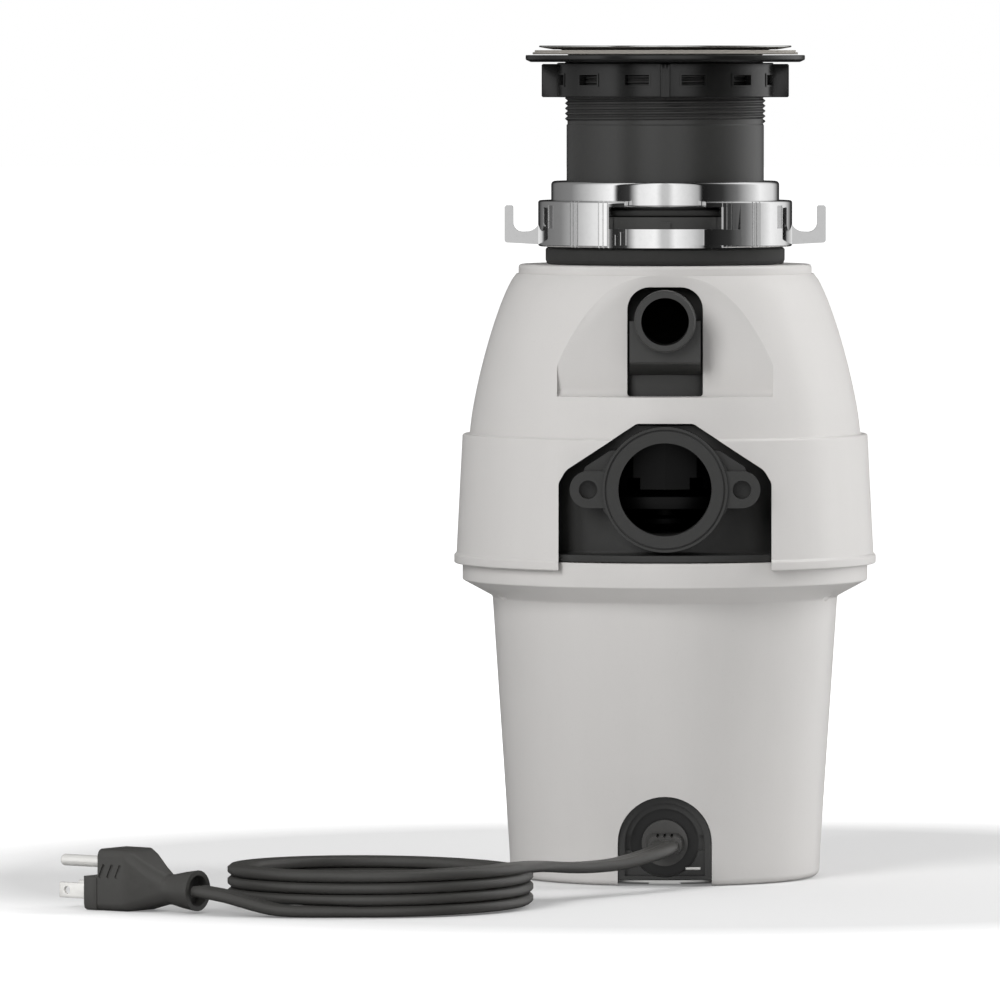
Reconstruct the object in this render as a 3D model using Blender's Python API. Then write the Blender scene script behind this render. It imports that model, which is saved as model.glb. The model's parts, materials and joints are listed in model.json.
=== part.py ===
"""Kitchen garbage disposal with its sink mount, power cord and grounded plug.

It stands on its base: the origin is the centre of the base, +Z is up, and the
drain outlet, the dishwasher inlet and the cord entry face -Y.  Units are metres.
"""

import math

import bmesh
import bpy
from mathutils import Vector

# ---- Fits -------------------------------------------------------------------
GAP = 0.0003              # between faces that touch
CUT_OVER = 0.0010              # how far a cutting tool passes its work
CUT_FAR = 0.0100
RUNNING_GAP = 0.0002      # radial, a shaft in its bearing
TURNING_GAP = 0.0006      # radial, between large rings that turn past each other
WELD = 0.000001           # points nearer than this are one point

# ---- Facets -----------------------------------------------------------------
SHELL_SIDES = 36
RING_SIDES = 28
INNER_SIDES = 12
SCREW_SIDES = 8
SHARP_ANGLE = math.radians(32)

# ---- Lower housing ----------------------------------------------------------
HOUSING_TOP_Z = 0.1384
HOUSING_RIM_R = 0.0871
HOUSING_RIM_H = 0.0105
HOUSING_SLANT_H = 0.0070
HOUSING_WAIST_R = 0.0742
HOUSING_FOOT_R = 0.0664
HOUSING_FOOT_ROUND = 0.0055
HOUSING_FOOT_FLAT_W = 0.0020
HOUSING_WALL = 0.0025
FOOT_LIP_H = 0.0026       # the turned-in edge around the base plate

# ---- Cord arch in the lower housing ------------------------------------------
ARCH_R = 0.0200
ARCH_CENTRE_Z = 0.0185
ENTRY_DEPTH = 0.0090
ENTRY_FRONT_SETBACK = 0.0036   # behind the housing's outer face
ENTRY_WALL = 0.0030
ENTRY_PLATE_RECESS = 0.0025
GLAND_RECESS_R = 0.0146
GLAND_RECESS_DEPTH = 0.0030
GLAND_Z = 0.0183
GLAND_R = 0.0098
GLAND_DISC_H = 0.0040
GLAND_SHANK_R = 0.0070
GLAND_NOSE_L = 0.0125
GLAND_NOSE_FLARE = 0.0012
GLAND_NOSE_EDGE = 0.0002
GLAND_NOSE_MARGIN = 0.0012     # around the cord

# ---- Base plate and reset switch ----------------------------------------------
BASE_PLATE_Z = 0.0006
BASE_PLATE_T = 0.0020
SWITCH_X = 0.0340
SWITCH_SIZE = (0.0200, 0.0260, 0.0120)
BUTTON_R = 0.0034
BUTTON_L = 0.0065
BUTTON_TRAVEL = 0.0030
BASE_SCREW_R = 0.0020
BASE_SCREW_HEAD_R = 0.0038
BASE_SCREW_HEAD_H = 0.0016
BASE_SCREW_CIRCLE_R = 0.0480
BASE_SCREW_ANGLES = (90, 210, 330)

# ---- Motor ----------------------------------------------------------------------
MOTOR_R = 0.0510
MOTOR_WALL = 0.0015
MOTOR_BOTTOM_Z = 0.0200
MOTOR_H = 0.0980
END_BELL_T = 0.0030
SHAFT_R = 0.0050
SHAFT_BOTTOM_Z = 0.0090
BEARING_R = 0.0110
BEARING_H = 0.0080
BEARING_SEAT_WALL = 0.0040
MAGNET_T = 0.0085
MAGNET_H = 0.0580
MAGNET_SPAN = math.radians(140)
MAGNET_AIR_GAP = 0.0012
CORE_H = 0.0480
CORE_RISE = 0.0050             # of the core above the can's middle
CORE_SLOTS = 12
CORE_SLOT_W = 0.0050
CORE_SLOT_DEPTH = 0.0100
WINDING_H = 0.0100
WINDING_SETBACK = 0.0030
WINDING_BORE_R = 0.0095
COMMUTATOR_R = 0.0140
COMMUTATOR_H = 0.0120
COMMUTATOR_GAP = 0.0040        # above the lower end bell
BRUSH_W = 0.0060
BRUSH_H = 0.0080
BRUSH_L = 0.0180
BRUSH_HOLDER_L = 0.0140
BRUSH_HOLDER_WALL = 0.0025

# ---- Drain chamber ------------------------------------------------------------
CHAMBER_WALL = 0.0030
CHAMBER_CLEARANCE = 0.00195     # inside the cover's shoulder at the hopper's flange
CHAMBER_H = 0.0580
CHAMBER_FOOT_H = 0.0030
CHAMBER_FLOOR_RISE = 0.0078    # floor's underside above the foot
CHAMBER_HUB_WALL = 0.0035
SEAL_H = 0.0100
OUTLET_RISE = 0.0312             # outlet's middle above the lower housing
OUTLET_BORE_R = 0.0197
OUTLET_FLANGE_R = 0.0265
OUTLET_STANDOFF = 0.0040       # face in front of the chamber's wall
OUTLET_LIP_W = 0.0014
OUTLET_LIP_H = 0.0010
EAR_HOLE_X = 0.0325
EAR_HOLE_R = 0.0040
EAR_R = 0.0080
EAR_SETBACK = 0.0015
EAR_T = 0.0070

# ---- Grinding set ----------------------------------------------------------------
GRIND_RING_INSET = 0.0145      # inside the chamber's inner wall
GRIND_RING_T = 0.0020
GRIND_RING_H = 0.0295
GRIND_FLANGE_T = 0.0012
GRIND_TEETH = 14
GRIND_TOOTH_W = 0.0060
GRIND_TOOTH_H = 0.0050
TURNTABLE_CLEARANCE = 0.0015
TURNTABLE_RISE = 0.0246          # underside above the lower housing
TURNTABLE_T = 0.0030
TURNTABLE_RIM_H = 0.0030
TURNTABLE_RIM_W = 0.0025
TURNTABLE_HUB_R = 0.0120
TURNTABLE_HUB_H = 0.0110
SLINGER_R = 0.0210
SLINGER_T = 0.0030
TURNTABLE_HOLES = 8
TURNTABLE_HOLE_R = 0.0022
TURNTABLE_HOLE_CIRCLE = 0.0240
NUT_ACROSS = 0.0130
NUT_H = 0.0055
NUT_FLATS = 6
IMPELLER_PIVOT_INSET = 0.0210  # from the turntable's edge
IMPELLER_L = 0.0240
IMPELLER_W = 0.0130
IMPELLER_T = 0.0030
IMPELLER_LUG_L = 0.0075
IMPELLER_LUG_H = 0.0120
PIN_R = 0.0026
PIN_HEAD_R = 0.0048
PIN_HEAD_H = 0.0016

# ---- Hopper -----------------------------------------------------------------------
GASKET_T = 0.0015
HOPPER_FLANGE_T = 0.0040
HOPPER_WALL = 0.0030
HOPPER_PAD_GAP = 0.0013        # behind the cover's flat pad
HOPPER_BODY_H = 0.0190
HOPPER_DOME_H = 0.0330
NECK_R = 0.0480
NECK_WALL = 0.0035
NECK_SHOULDER_W = 0.0012
NECK_SHOULDER_H = 0.0080
NECK_IN_LOCK = 0.0131          # neck's top above the lock ring's underside
DOME_STEPS = 5
CHAMBER_SCREWS = 4
CHAMBER_SCREW_R = 0.0018
CHAMBER_SCREW_HEAD_R = 0.0032
CHAMBER_SCREW_HEAD_H = 0.0020

# ---- Upper cover ----------------------------------------------------------------
COVER_OVERLAP = 0.0034         # of the cover over the housing's rim
COVER_H = 0.1284
COVER_WALL = 0.0021
COVER_FIT = 0.0005             # radial, around the housing's rim
COVER_LIP_W = 0.0010
COVER_LIP_H = 0.0035
COVER_SKIRT_H = 0.0555
COVER_SKIRT_DRAFT = 0.0026
COVER_STEP_W = 0.0030
COVER_SHOULDER_POWER = 1.3     # fullness of the shoulder's curve
COVER_SHOULDER_STEPS = 5
COVER_RIM_R = 0.0630
COVER_RIM_H = 0.0040
COVER_RIM_ROUND = 0.0012
COVER_RIM_STEP = 0.0009
PAD_ABOVE_SHOULDER = 0.0002
PAD_IN_FRONT = 0.0005          # pad plane in front of the rim
PAD_HALF_W = 0.0458
PAD_BOTTOM_H = 0.0734           # heights above the cover's foot
SLOT_W = 0.0321
SLOT_TOP_H = 0.1197
SLOT_TOP_ROUND = 0.0095
OPENING_HALF_W = 0.0451
OPENING_TOP_H = 0.0624
OPENING_TOP_HALF_W = 0.0120
OPENING_CORNER_X = 0.0420
OPENING_CORNER_H = 0.0425
OPENING_SIDE_H = 0.0370

# ---- Dishwasher inlet ---------------------------------------------------------------
INLET_DROP = 0.0230             # below the cover's top
INLET_R = 0.0131
INLET_BORE_R = 0.0101
INLET_L = 0.0165               # in front of the pad
INLET_BORE_DEPTH = 0.0220
INLET_RIB_SIDE_GAP = 0.0010     # beside the rib, in the cover's slot
INLET_RIB_DROP = 0.0180
INLET_RIB_SETBACK = 0.0060

# ---- Sink mount -------------------------------------------------------------------
COLLAR_R = 0.0514
COLLAR_H = 0.0070
LOCK_RING_R = 0.0546
LOCK_RING_H = 0.0198
LOCK_LIP_H = 0.0026
LOCK_LUG_W = 0.0022
LOCK_LUG_H = 0.0030
LOCK_TOP_LIP_H = 0.0020
LOCK_LUGS = 3
LOCK_LUG_ANGLE = 90            # the first lug, at the back
LOCK_LUG_HALF_W = 0.0060
WINDOW_HALF_W = 0.0240
WINDOW_TOP_HALF_W = 0.0173
WINDOW_BOTTOM_H = 0.0081       # above the lock ring's underside
WINDOW_STEP_H = 0.0175
WINDOW_DEPTH = 0.0146
HOOK_REACH = 0.0690
HOOK_ARM_W = 0.0037
HOOK_FLOOR_T = 0.0046
HOOK_TOP_H = 0.0175
HOOK_BOTTOM_H = 0.0016
HOOK_ROUND = 0.0040
HOOK_T = 0.0060
HOOK_CORNER = 0.0010
HOOK_ROOT = 0.0015             # of the hook inside the ring's wall
UPPER_RING_R = 0.0490
UPPER_RING_H = 0.0109
UPPER_RING_Z = 0.0172          # above the lock ring's underside
THROAT_GASKET_H = 0.0027
SLEEVE_R = 0.0424
SLEEVE_WALL = 0.0024
SLEEVE_H = 0.0752
SLEEVE_FOOT_H = 0.0050         # sleeve's foot above the lock ring's underside
SLEEVE_PROUD = 0.0011          # sleeve's top above the support flange's underside
THREAD_R = 0.0430
THREAD_L = 0.0276
NUT_RING_R = 0.0465
NUT_RING_H = 0.0148
NUT_THREAD_GAP = 0.0007
NUT_LUG_REACH = 0.0529
NUT_LUG_W = 0.0043
NUT_LUG_H = 0.0120
NUT_LUGS = 4
NUT_WINDOWS = 12
NUT_WINDOW_W = 0.0105
NUT_WINDOW_H = 0.0043
NUT_WINDOW_Z = 0.0052
SUPPORT_R = 0.0600
SUPPORT_T = 0.0030
SUPPORT_BORE_GAP = 0.0015
SINK_GASKET_R = 0.0570
SINK_GASKET_T = 0.0018
SINK_RIM_R = 0.0542
SINK_RIM_T = 0.0006
SINK_DISH_R = 0.0514
SINK_DISH_H = 0.0017
SINK_NECK_WALL = 0.0010
SINK_NECK_L = 0.0230
SINK_LIP_W = 0.0015
SINK_BEND_H = 0.0040
SINK_FLAT_INSET = 0.0090       # of the rim's flat inside the gasket's edge
GUARD_WALL = 0.0018
GUARD_H = 0.0200
GUARD_HOLE_R = 0.0120
GUARD_SLITS = 8
GUARD_SLIT_W = 0.0010
GUARD_SLIT_INSET = 0.0040

# ---- Cord and plug ------------------------------------------------------------------
CORD_THICKNESS = 0.0046
CORD_WIDTH = 0.0114
CORD_STEP = 0.0120
COIL_CENTRE = (-0.118, -0.173)
COIL_LINE_R = 0.0580
COIL_H = 0.0197
COIL_ROUND = 0.0022
LEAD_ROUTE = (                 # from the gland's nose to the coil
    (-0.0006, -0.0860, 0.0178),
    (-0.0070, -0.0990, 0.0158),
    (-0.0200, -0.1150, 0.0134),
    (-0.0360, -0.1330, 0.0132),
    (-0.0530, -0.1562, 0.0154),
)
TAIL_ROUTE = (
    (-0.1525, -0.2317, 0.0026),
    (-0.1640, -0.2292, 0.0040),
    (-0.1790, -0.2228, 0.0078),
    (-0.1916, -0.2143, 0.0095),
)
PLUG_PLACE = (-0.1920, -0.2140)
PLUG_TURN = math.radians(145)
PLUG_CORD_Z = 0.0095
PLUG_L = 0.0505
PLUG_HALF_W = 0.0120
PLUG_HALF_H = 0.0128
PLUG_NECK_R = 0.0065
PLUG_NECK_X = 0.0120
PLUG_BARREL_R = 0.00845
PLUG_BLOCK_X = 0.0300
PLUG_CORNER = 0.0032
PLUG_ROUNDNESS = 0.98          # corner radius of the round sections over their half width
BLADE_L = 0.0163
BLADE_H = 0.00635
BLADE_T = 0.0015
BLADE_SPACING = 0.0127
BLADE_DROP = 0.0053            # below the plug's middle
GROUND_PIN_R = 0.0024
GROUND_PIN_L = 0.0200
GROUND_PIN_RISE = 0.0066
GROUND_PIN_TIP = 0.6           # tip's radius over the pin's

# ---- Heights and radii that follow -----------------------------------------------------
COVER_BOTTOM_Z = HOUSING_TOP_Z - COVER_OVERLAP
COVER_TOP_Z = COVER_BOTTOM_Z + COVER_H
COVER_STEP_Z = COVER_BOTTOM_Z + COVER_SKIRT_H
COVER_FOOT_R = HOUSING_RIM_R + COVER_FIT + COVER_WALL
COVER_SKIRT_TOP_R = COVER_FOOT_R - COVER_SKIRT_DRAFT
COVER_SHOULDER_R = COVER_SKIRT_TOP_R - COVER_STEP_W
COVER_SHOULDER_TOP_R = COVER_RIM_R + COVER_RIM_STEP
COVER_SHOULDER_TOP_Z = COVER_TOP_Z - COVER_RIM_H
PAD_Y = -(COVER_RIM_R + PAD_IN_FRONT)
PAD_BOTTOM_Z = COVER_BOTTOM_Z + PAD_BOTTOM_H
SLOT_TOP_Z = COVER_BOTTOM_Z + SLOT_TOP_H
OPENING_TOP_Z = COVER_BOTTOM_Z + OPENING_TOP_H
OPENING_CORNER_Z = COVER_BOTTOM_Z + OPENING_CORNER_H
OPENING_SIDE_Z = COVER_BOTTOM_Z + OPENING_SIDE_H
INLET_Z = COVER_TOP_Z - INLET_DROP
CHAMBER_BOTTOM_Z = HOUSING_TOP_Z + GAP
CHAMBER_FLOOR_Z = CHAMBER_BOTTOM_Z + CHAMBER_FLOOR_RISE
CHAMBER_TOP_Z = CHAMBER_BOTTOM_Z + CHAMBER_H
GRIND_RING_TOP_Z = CHAMBER_TOP_Z + GAP + GRIND_FLANGE_T
CHAMBER_GASKET_Z = GRIND_RING_TOP_Z + GAP
HOPPER_BOTTOM_Z = CHAMBER_GASKET_Z + GASKET_T + GAP
HOPPER_FLANGE_TOP_Z = HOPPER_BOTTOM_Z + HOPPER_FLANGE_T


def shoulder_radius(z):
    """Outer radius of the cover's shoulder at a height."""
    u = (z - COVER_STEP_Z) / (COVER_SHOULDER_TOP_Z - COVER_STEP_Z)
    v = (1 - u ** COVER_SHOULDER_POWER) ** (1 / COVER_SHOULDER_POWER)
    return COVER_SHOULDER_TOP_R + (COVER_SHOULDER_R - COVER_SHOULDER_TOP_R) * v


CHAMBER_R = shoulder_radius(HOPPER_FLANGE_TOP_Z) - COVER_WALL - CHAMBER_CLEARANCE
CHAMBER_INNER_R = CHAMBER_R - CHAMBER_WALL
OUTLET_Z = HOUSING_TOP_Z + OUTLET_RISE
TURNTABLE_Z = HOUSING_TOP_Z + TURNTABLE_RISE
OUTLET_Y = -(CHAMBER_R + OUTLET_STANDOFF)
GRIND_RING_R = CHAMBER_INNER_R - GRIND_RING_INSET
TURNTABLE_R = GRIND_RING_R - GRIND_RING_T - TURNTABLE_CLEARANCE
TURNTABLE_TOP_Z = TURNTABLE_Z + TURNTABLE_T
IMPELLER_PIVOT_R = TURNTABLE_R - IMPELLER_PIVOT_INSET
HOPPER_BODY_R = -PAD_Y - COVER_WALL - HOPPER_PAD_GAP
HOPPER_BODY_TOP_Z = HOPPER_FLANGE_TOP_Z + HOPPER_BODY_H
HOPPER_DOME_TOP_Z = HOPPER_BODY_TOP_Z + HOPPER_DOME_H
NECK_SHOULDER_R = NECK_R + NECK_SHOULDER_W
COLLAR_Z = COVER_TOP_Z + GAP
LOCK_RING_Z = COLLAR_Z + COLLAR_H + GAP
LOCK_BORE_R = UPPER_RING_R + TURNING_GAP
LOCK_GROOVE_R = LOCK_BORE_R + LOCK_LUG_W
LOCK_GROOVE_TOP_Z = LOCK_RING_Z + LOCK_RING_H - LOCK_TOP_LIP_H
NECK_TOP_Z = LOCK_RING_Z + NECK_IN_LOCK
THROAT_GASKET_Z = NECK_TOP_Z + GAP
SLEEVE_BOTTOM_Z = LOCK_RING_Z + SLEEVE_FOOT_H
SLEEVE_TOP_Z = SLEEVE_BOTTOM_Z + SLEEVE_H
SLEEVE_BORE_R = SLEEVE_R - SLEEVE_WALL
NUT_RING_BORE_R = THREAD_R + NUT_THREAD_GAP
SUPPORT_Z = SLEEVE_TOP_Z - SLEEVE_PROUD
NUT_RING_Z = SUPPORT_Z - GAP - NUT_RING_H
SINK_GASKET_Z = SUPPORT_Z + SUPPORT_T + GAP
SINK_RIM_Z = SINK_GASKET_Z + SINK_GASKET_T + GAP
SINK_NECK_R = SLEEVE_BORE_R - GAP
SINK_NECK_BOTTOM_Z = SINK_RIM_Z - SINK_NECK_L
GUARD_R = SINK_NECK_R - SINK_NECK_WALL - TURNING_GAP
GUARD_Z = SINK_NECK_BOTTOM_Z + SINK_NECK_WALL + GAP
BASE_PLATE_TOP_Z = BASE_PLATE_Z + BASE_PLATE_T
FOOT_BORE_R = HOUSING_FOOT_R - HOUSING_FOOT_ROUND - HOUSING_FOOT_FLAT_W
BASE_PLATE_R = FOOT_BORE_R - GAP
ENTRY_FRONT_Y = -(HOUSING_FOOT_R - ENTRY_FRONT_SETBACK)
GLAND_FRONT_Y = (
    ENTRY_FRONT_Y + ENTRY_PLATE_RECESS + GLAND_RECESS_DEPTH - GAP - GLAND_DISC_H - GLAND_NOSE_L
)
MOTOR_TOP_Z = MOTOR_BOTTOM_Z + MOTOR_H
MOTOR_BORE_R = MOTOR_R - MOTOR_WALL
MAGNET_R = MOTOR_BORE_R - 2 * GAP
CORE_R = MAGNET_R - MAGNET_T - MAGNET_AIR_GAP
CORE_Z = MOTOR_BOTTOM_Z + (MOTOR_H - CORE_H) / 2 + CORE_RISE
COMMUTATOR_Z = MOTOR_BOTTOM_Z + END_BELL_T + COMMUTATOR_GAP
SHAFT_TOP_Z = TURNTABLE_TOP_Z + NUT_H

# ---- Finishes: colour, roughness, metallic ---------------------------------------------
FINISHES = {
    "light_grey_plastic": ((0.67, 0.65, 0.63), 0.38, 0.0),
    "black_plastic": ((0.035, 0.035, 0.034), 0.48, 0.0),
    "dark_rubber": ((0.030, 0.030, 0.029), 0.75, 0.0),
    "grey_gasket": ((0.34, 0.32, 0.29), 0.65, 0.0),
    "chrome": ((0.80, 0.80, 0.80), 0.08, 1.0),
    "polished_steel": ((0.72, 0.73, 0.72), 0.15, 1.0),
    "brushed_steel": ((0.55, 0.55, 0.54), 0.35, 1.0),
    "zinc_steel": ((0.60, 0.60, 0.58), 0.30, 1.0),
    "cast_aluminium": ((0.58, 0.58, 0.57), 0.45, 1.0),
    "lamination_steel": ((0.30, 0.30, 0.31), 0.50, 1.0),
    "ferrite": ((0.06, 0.06, 0.065), 0.60, 0.0),
    "copper": ((0.72, 0.36, 0.20), 0.30, 1.0),
    "bronze": ((0.55, 0.38, 0.20), 0.35, 1.0),
    "carbon": ((0.05, 0.05, 0.05), 0.55, 0.0),
    "brass": ((0.78, 0.62, 0.32), 0.22, 1.0),
    "nickel": ((0.82, 0.81, 0.79), 0.14, 1.0),
    "red_plastic": ((0.60, 0.03, 0.03), 0.40, 0.0),
    "cord_grey": ((0.080, 0.078, 0.075), 0.55, 0.0),
}


# ---- Materials and objects -----------------------------------------------------------

def paint(obj, finish):
    """Give an object a material of its own in one of the finishes."""
    colour, roughness, metallic = FINISHES[finish]
    material = bpy.data.materials.new(obj.name)
    material.use_nodes = True
    shader = material.node_tree.nodes["Principled BSDF"]
    shader.inputs["Base Color"].default_value = (*colour, 1.0)
    shader.inputs["Roughness"].default_value = roughness
    shader.inputs["Metallic"].default_value = metallic
    obj.data.materials.append(material)


def place_mesh(name, bm, finish, location=(0, 0, 0)):
    """Turn a bmesh into a smooth-shaded, painted object."""
    bmesh.ops.recalc_face_normals(bm, faces=bm.faces)
    mesh = bpy.data.meshes.new(name)
    bm.to_mesh(mesh)
    bm.free()
    mesh.shade_smooth()
    mesh.set_sharp_from_angle(angle=SHARP_ANGLE)
    obj = bpy.data.objects.new(name, mesh)
    obj.location = location
    bpy.context.collection.objects.link(obj)
    paint(obj, finish)
    return obj


def axis_empty(name, location):
    """An empty on a joint's axis, for the pieces that move about it."""
    empty = bpy.data.objects.new(name, None)
    empty.location = location
    bpy.context.collection.objects.link(empty)
    return empty


def hang_on(empty, *objects):
    """Parent objects to an empty and keep them where they are."""
    for obj in objects:
        obj.parent = empty
        obj.location = obj.location - empty.location


def combine(obj, tool, operation):
    """Join a tool to an object, or cut it out, with a live Boolean."""
    modifier = obj.modifiers.new(tool.name, "BOOLEAN")
    modifier.operation = operation
    modifier.solver = "EXACT"
    modifier.object = tool
    tool.display_type = "WIRE"
    tool.hide_render = True


def add(obj, *tools):
    """Join tools to an object."""
    for tool in tools:
        combine(obj, tool, "UNION")


def cut(obj, *tools):
    """Cut tools out of an object."""
    for tool in tools:
        combine(obj, tool, "DIFFERENCE")


# ---- Shapes ---------------------------------------------------------------------------

def arc(centre, radius, start, end, steps):
    """Points of an arc, with its angles in degrees."""
    points = []
    for i in range(steps + 1):
        angle = math.radians(start + (end - start) * i / steps)
        points.append((centre[0] + radius * math.cos(angle), centre[1] + radius * math.sin(angle)))
    return points


def turned(name, outline, finish, sides=RING_SIDES, location=(0, 0, 0), start=0.0, span=math.tau):
    """A solid turned about Z from a closed outline of (radius, height) points."""
    bm = bmesh.new()
    verts = [bm.verts.new((r * math.cos(start), r * math.sin(start), z)) for r, z in outline]
    edges = [bm.edges.new(pair) for pair in zip(verts, verts[1:])]
    if min(r for r, z in outline) > 0:
        edges.append(bm.edges.new((verts[-1], verts[0])))
    whole = span == math.tau
    if not whole:
        bmesh.ops.edgeloop_fill(bm, edges=edges)
    bmesh.ops.spin(
        bm, geom=verts + edges + bm.faces[:], axis=(0, 0, 1), cent=(0, 0, 0),
        angle=span, steps=sides, use_merge=whole,
    )
    bmesh.ops.remove_doubles(bm, verts=bm.verts, dist=WELD)
    tips = [vert for vert in bm.verts if vert.co.xy.length < WELD]
    bmesh.ops.dissolve_verts(bm, verts=tips)
    return place_mesh(name, bm, finish, location)


def ring(name, outer, inner, bottom, top, finish, sides=RING_SIDES, location=(0, 0, 0)):
    """A plain ring or tube."""
    outline = [(inner, bottom), (outer, bottom), (outer, top), (inner, top)]
    return turned(name, outline, finish, sides, location)


def drum(name, radius, bottom, top, finish, sides=INNER_SIDES, location=(0, 0, 0)):
    """A plain upright cylinder."""
    outline = [(0, bottom), (radius, bottom), (radius, top), (0, top)]
    return turned(name, outline, finish, sides, location)


def rod_along_y(name, radius, front, back, x, z, finish, sides=INNER_SIDES):
    """A cylinder along Y between two depths."""
    rod = drum(name, radius, front, back, finish, sides)
    rod.rotation_euler = (-math.pi / 2, 0, 0)
    rod.location = (x, 0, z)
    return rod


def block(name, low, high, finish, location=(0, 0, 0)):
    """A box between two corners."""
    bm = bmesh.new()
    bmesh.ops.create_cube(bm, size=1.0)
    for vert in bm.verts:
        for i in range(3):
            vert.co[i] = low[i] if vert.co[i] < 0 else high[i]
    return place_mesh(name, bm, finish, location)


def prism(name, outline, low, high, finish, axis="Y"):
    """An outline pushed along Y (points are x, z) or X (points are y, z)."""
    bm = bmesh.new()
    if axis == "Y":
        verts = [bm.verts.new((a, low, b)) for a, b in outline]
        push = Vector((0, high - low, 0))
    else:
        verts = [bm.verts.new((low, a, b)) for a, b in outline]
        push = Vector((high - low, 0, 0))
    face = bm.faces.new(verts)
    pushed = bmesh.ops.extrude_face_region(bm, geom=[face])
    moved = [part for part in pushed["geom"] if isinstance(part, bmesh.types.BMVert)]
    bmesh.ops.translate(bm, verts=moved, vec=push)
    return place_mesh(name, bm, finish)


def spoke_blocks(name, count, first_angle, low, high, finish):
    """One tool of equal boxes standing around Z, each drawn along its own +X."""
    bm = bmesh.new()
    for i in range(count):
        angle = math.radians(first_angle) + math.tau * i / count
        made = bmesh.ops.create_cube(bm, size=1.0)["verts"]
        for vert in made:
            for k in range(3):
                vert.co[k] = low[k] if vert.co[k] < 0 else high[k]
            x, y = vert.co.x, vert.co.y
            vert.co.x = x * math.cos(angle) - y * math.sin(angle)
            vert.co.y = x * math.sin(angle) + y * math.cos(angle)
    return place_mesh(name, bm, finish)


def rounded_section(half_w, half_h, round_r, per_corner):
    """Points of a rounded rectangle, anticlockwise from its right side."""
    points = []
    for i, (sx, sy) in enumerate(((1, 1), (-1, 1), (-1, -1), (1, -1))):
        centre = (sx * (half_w - round_r), sy * (half_h - round_r))
        points += arc(centre, round_r, 90 * i, 90 * (i + 1), per_corner)
    return points


def lofted(name, sections, finish, per_corner=3):
    """A closed skin over rounded sections: (x, half_w, half_h, centre_z, round_r)."""
    bm = bmesh.new()
    loops = []
    for x, half_w, half_h, centre_z, round_r in sections:
        points = rounded_section(half_w, half_h, round_r, per_corner)
        verts = [bm.verts.new((x, a, centre_z + b)) for a, b in points]
        loops.append([bm.edges.new(pair) for pair in zip(verts, verts[1:] + verts[:1])])
    for near, far in zip(loops, loops[1:]):
        bmesh.ops.bridge_loops(bm, edges=near + far)
    bmesh.ops.edgeloop_fill(bm, edges=loops[0])
    bmesh.ops.edgeloop_fill(bm, edges=loops[-1])
    return place_mesh(name, bm, finish)


def curve_points(route, spacing):
    """Evenly spaced points on a smooth curve through a route."""
    knots = [Vector(point) for point in route]
    knots = [2 * knots[0] - knots[1]] + knots + [2 * knots[-1] - knots[-2]]
    points = [knots[1]]
    for a, b, c, d in zip(knots, knots[1:], knots[2:], knots[3:]):
        steps = max(1, round((c - b).length / spacing))
        for i in range(1, steps + 1):
            t = i / steps
            points.append(0.5 * (
                2 * b + (c - a) * t + (2 * a - 5 * b + 4 * c - d) * t ** 2
                + (3 * b - a - 3 * c + d) * t ** 3
            ))
    return points


def tube(name, points, radius, finish):
    """A round tube along points, with closed ends."""
    curve = bpy.data.curves.new(name, "CURVE")
    curve.dimensions = "3D"
    curve.bevel_depth = radius
    curve.bevel_resolution = 2
    curve.use_fill_caps = True
    spline = curve.splines.new("POLY")
    spline.points.add(len(points) - 1)
    for knot, point in zip(spline.points, points):
        knot.co = (*point, 1.0)
    obj = bpy.data.objects.new(name, curve)
    bpy.context.collection.objects.link(obj)
    paint(obj, finish)
    return obj


# ---- Housing and base ---------------------------------------------------------------

def arch_outline(radius, bottom):
    """An arch about the cord entry: straight sides under a half circle."""
    return [(-radius, bottom)] + arc((0, ARCH_CENTRE_Z), radius, 180, 0, 16) + [(radius, bottom)]


def make_lower_housing():
    """Tapered motor shell with a wide rim, and an arch for the cord at its foot."""
    rim_bottom = HOUSING_TOP_Z - HOUSING_RIM_H
    waist_z = rim_bottom - HOUSING_SLANT_H
    foot_round = arc(
        (HOUSING_FOOT_R - HOUSING_FOOT_ROUND, HOUSING_FOOT_ROUND), HOUSING_FOOT_ROUND, -90, 0, 4
    )
    outline = [(FOOT_BORE_R, 0)] + foot_round + [
        (HOUSING_WAIST_R, waist_z),
        (HOUSING_RIM_R, rim_bottom),
        (HOUSING_RIM_R, HOUSING_TOP_Z),
        (HOUSING_RIM_R - HOUSING_WALL, HOUSING_TOP_Z),
        (HOUSING_RIM_R - HOUSING_WALL, rim_bottom + HOUSING_WALL / 2),
        (HOUSING_WAIST_R - HOUSING_WALL, waist_z + HOUSING_WALL / 2),
        (HOUSING_FOOT_R - HOUSING_WALL, HOUSING_FOOT_ROUND),
        (FOOT_BORE_R, FOOT_LIP_H),
    ]
    housing = turned("lower_housing", outline, "light_grey_plastic", SHELL_SIDES)
    reach = HOUSING_RIM_R
    arch = prism("arch_tool", arch_outline(ARCH_R, -CUT_FAR), -reach, -MOTOR_R, "light_grey_plastic")
    cut(housing, arch)


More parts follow.
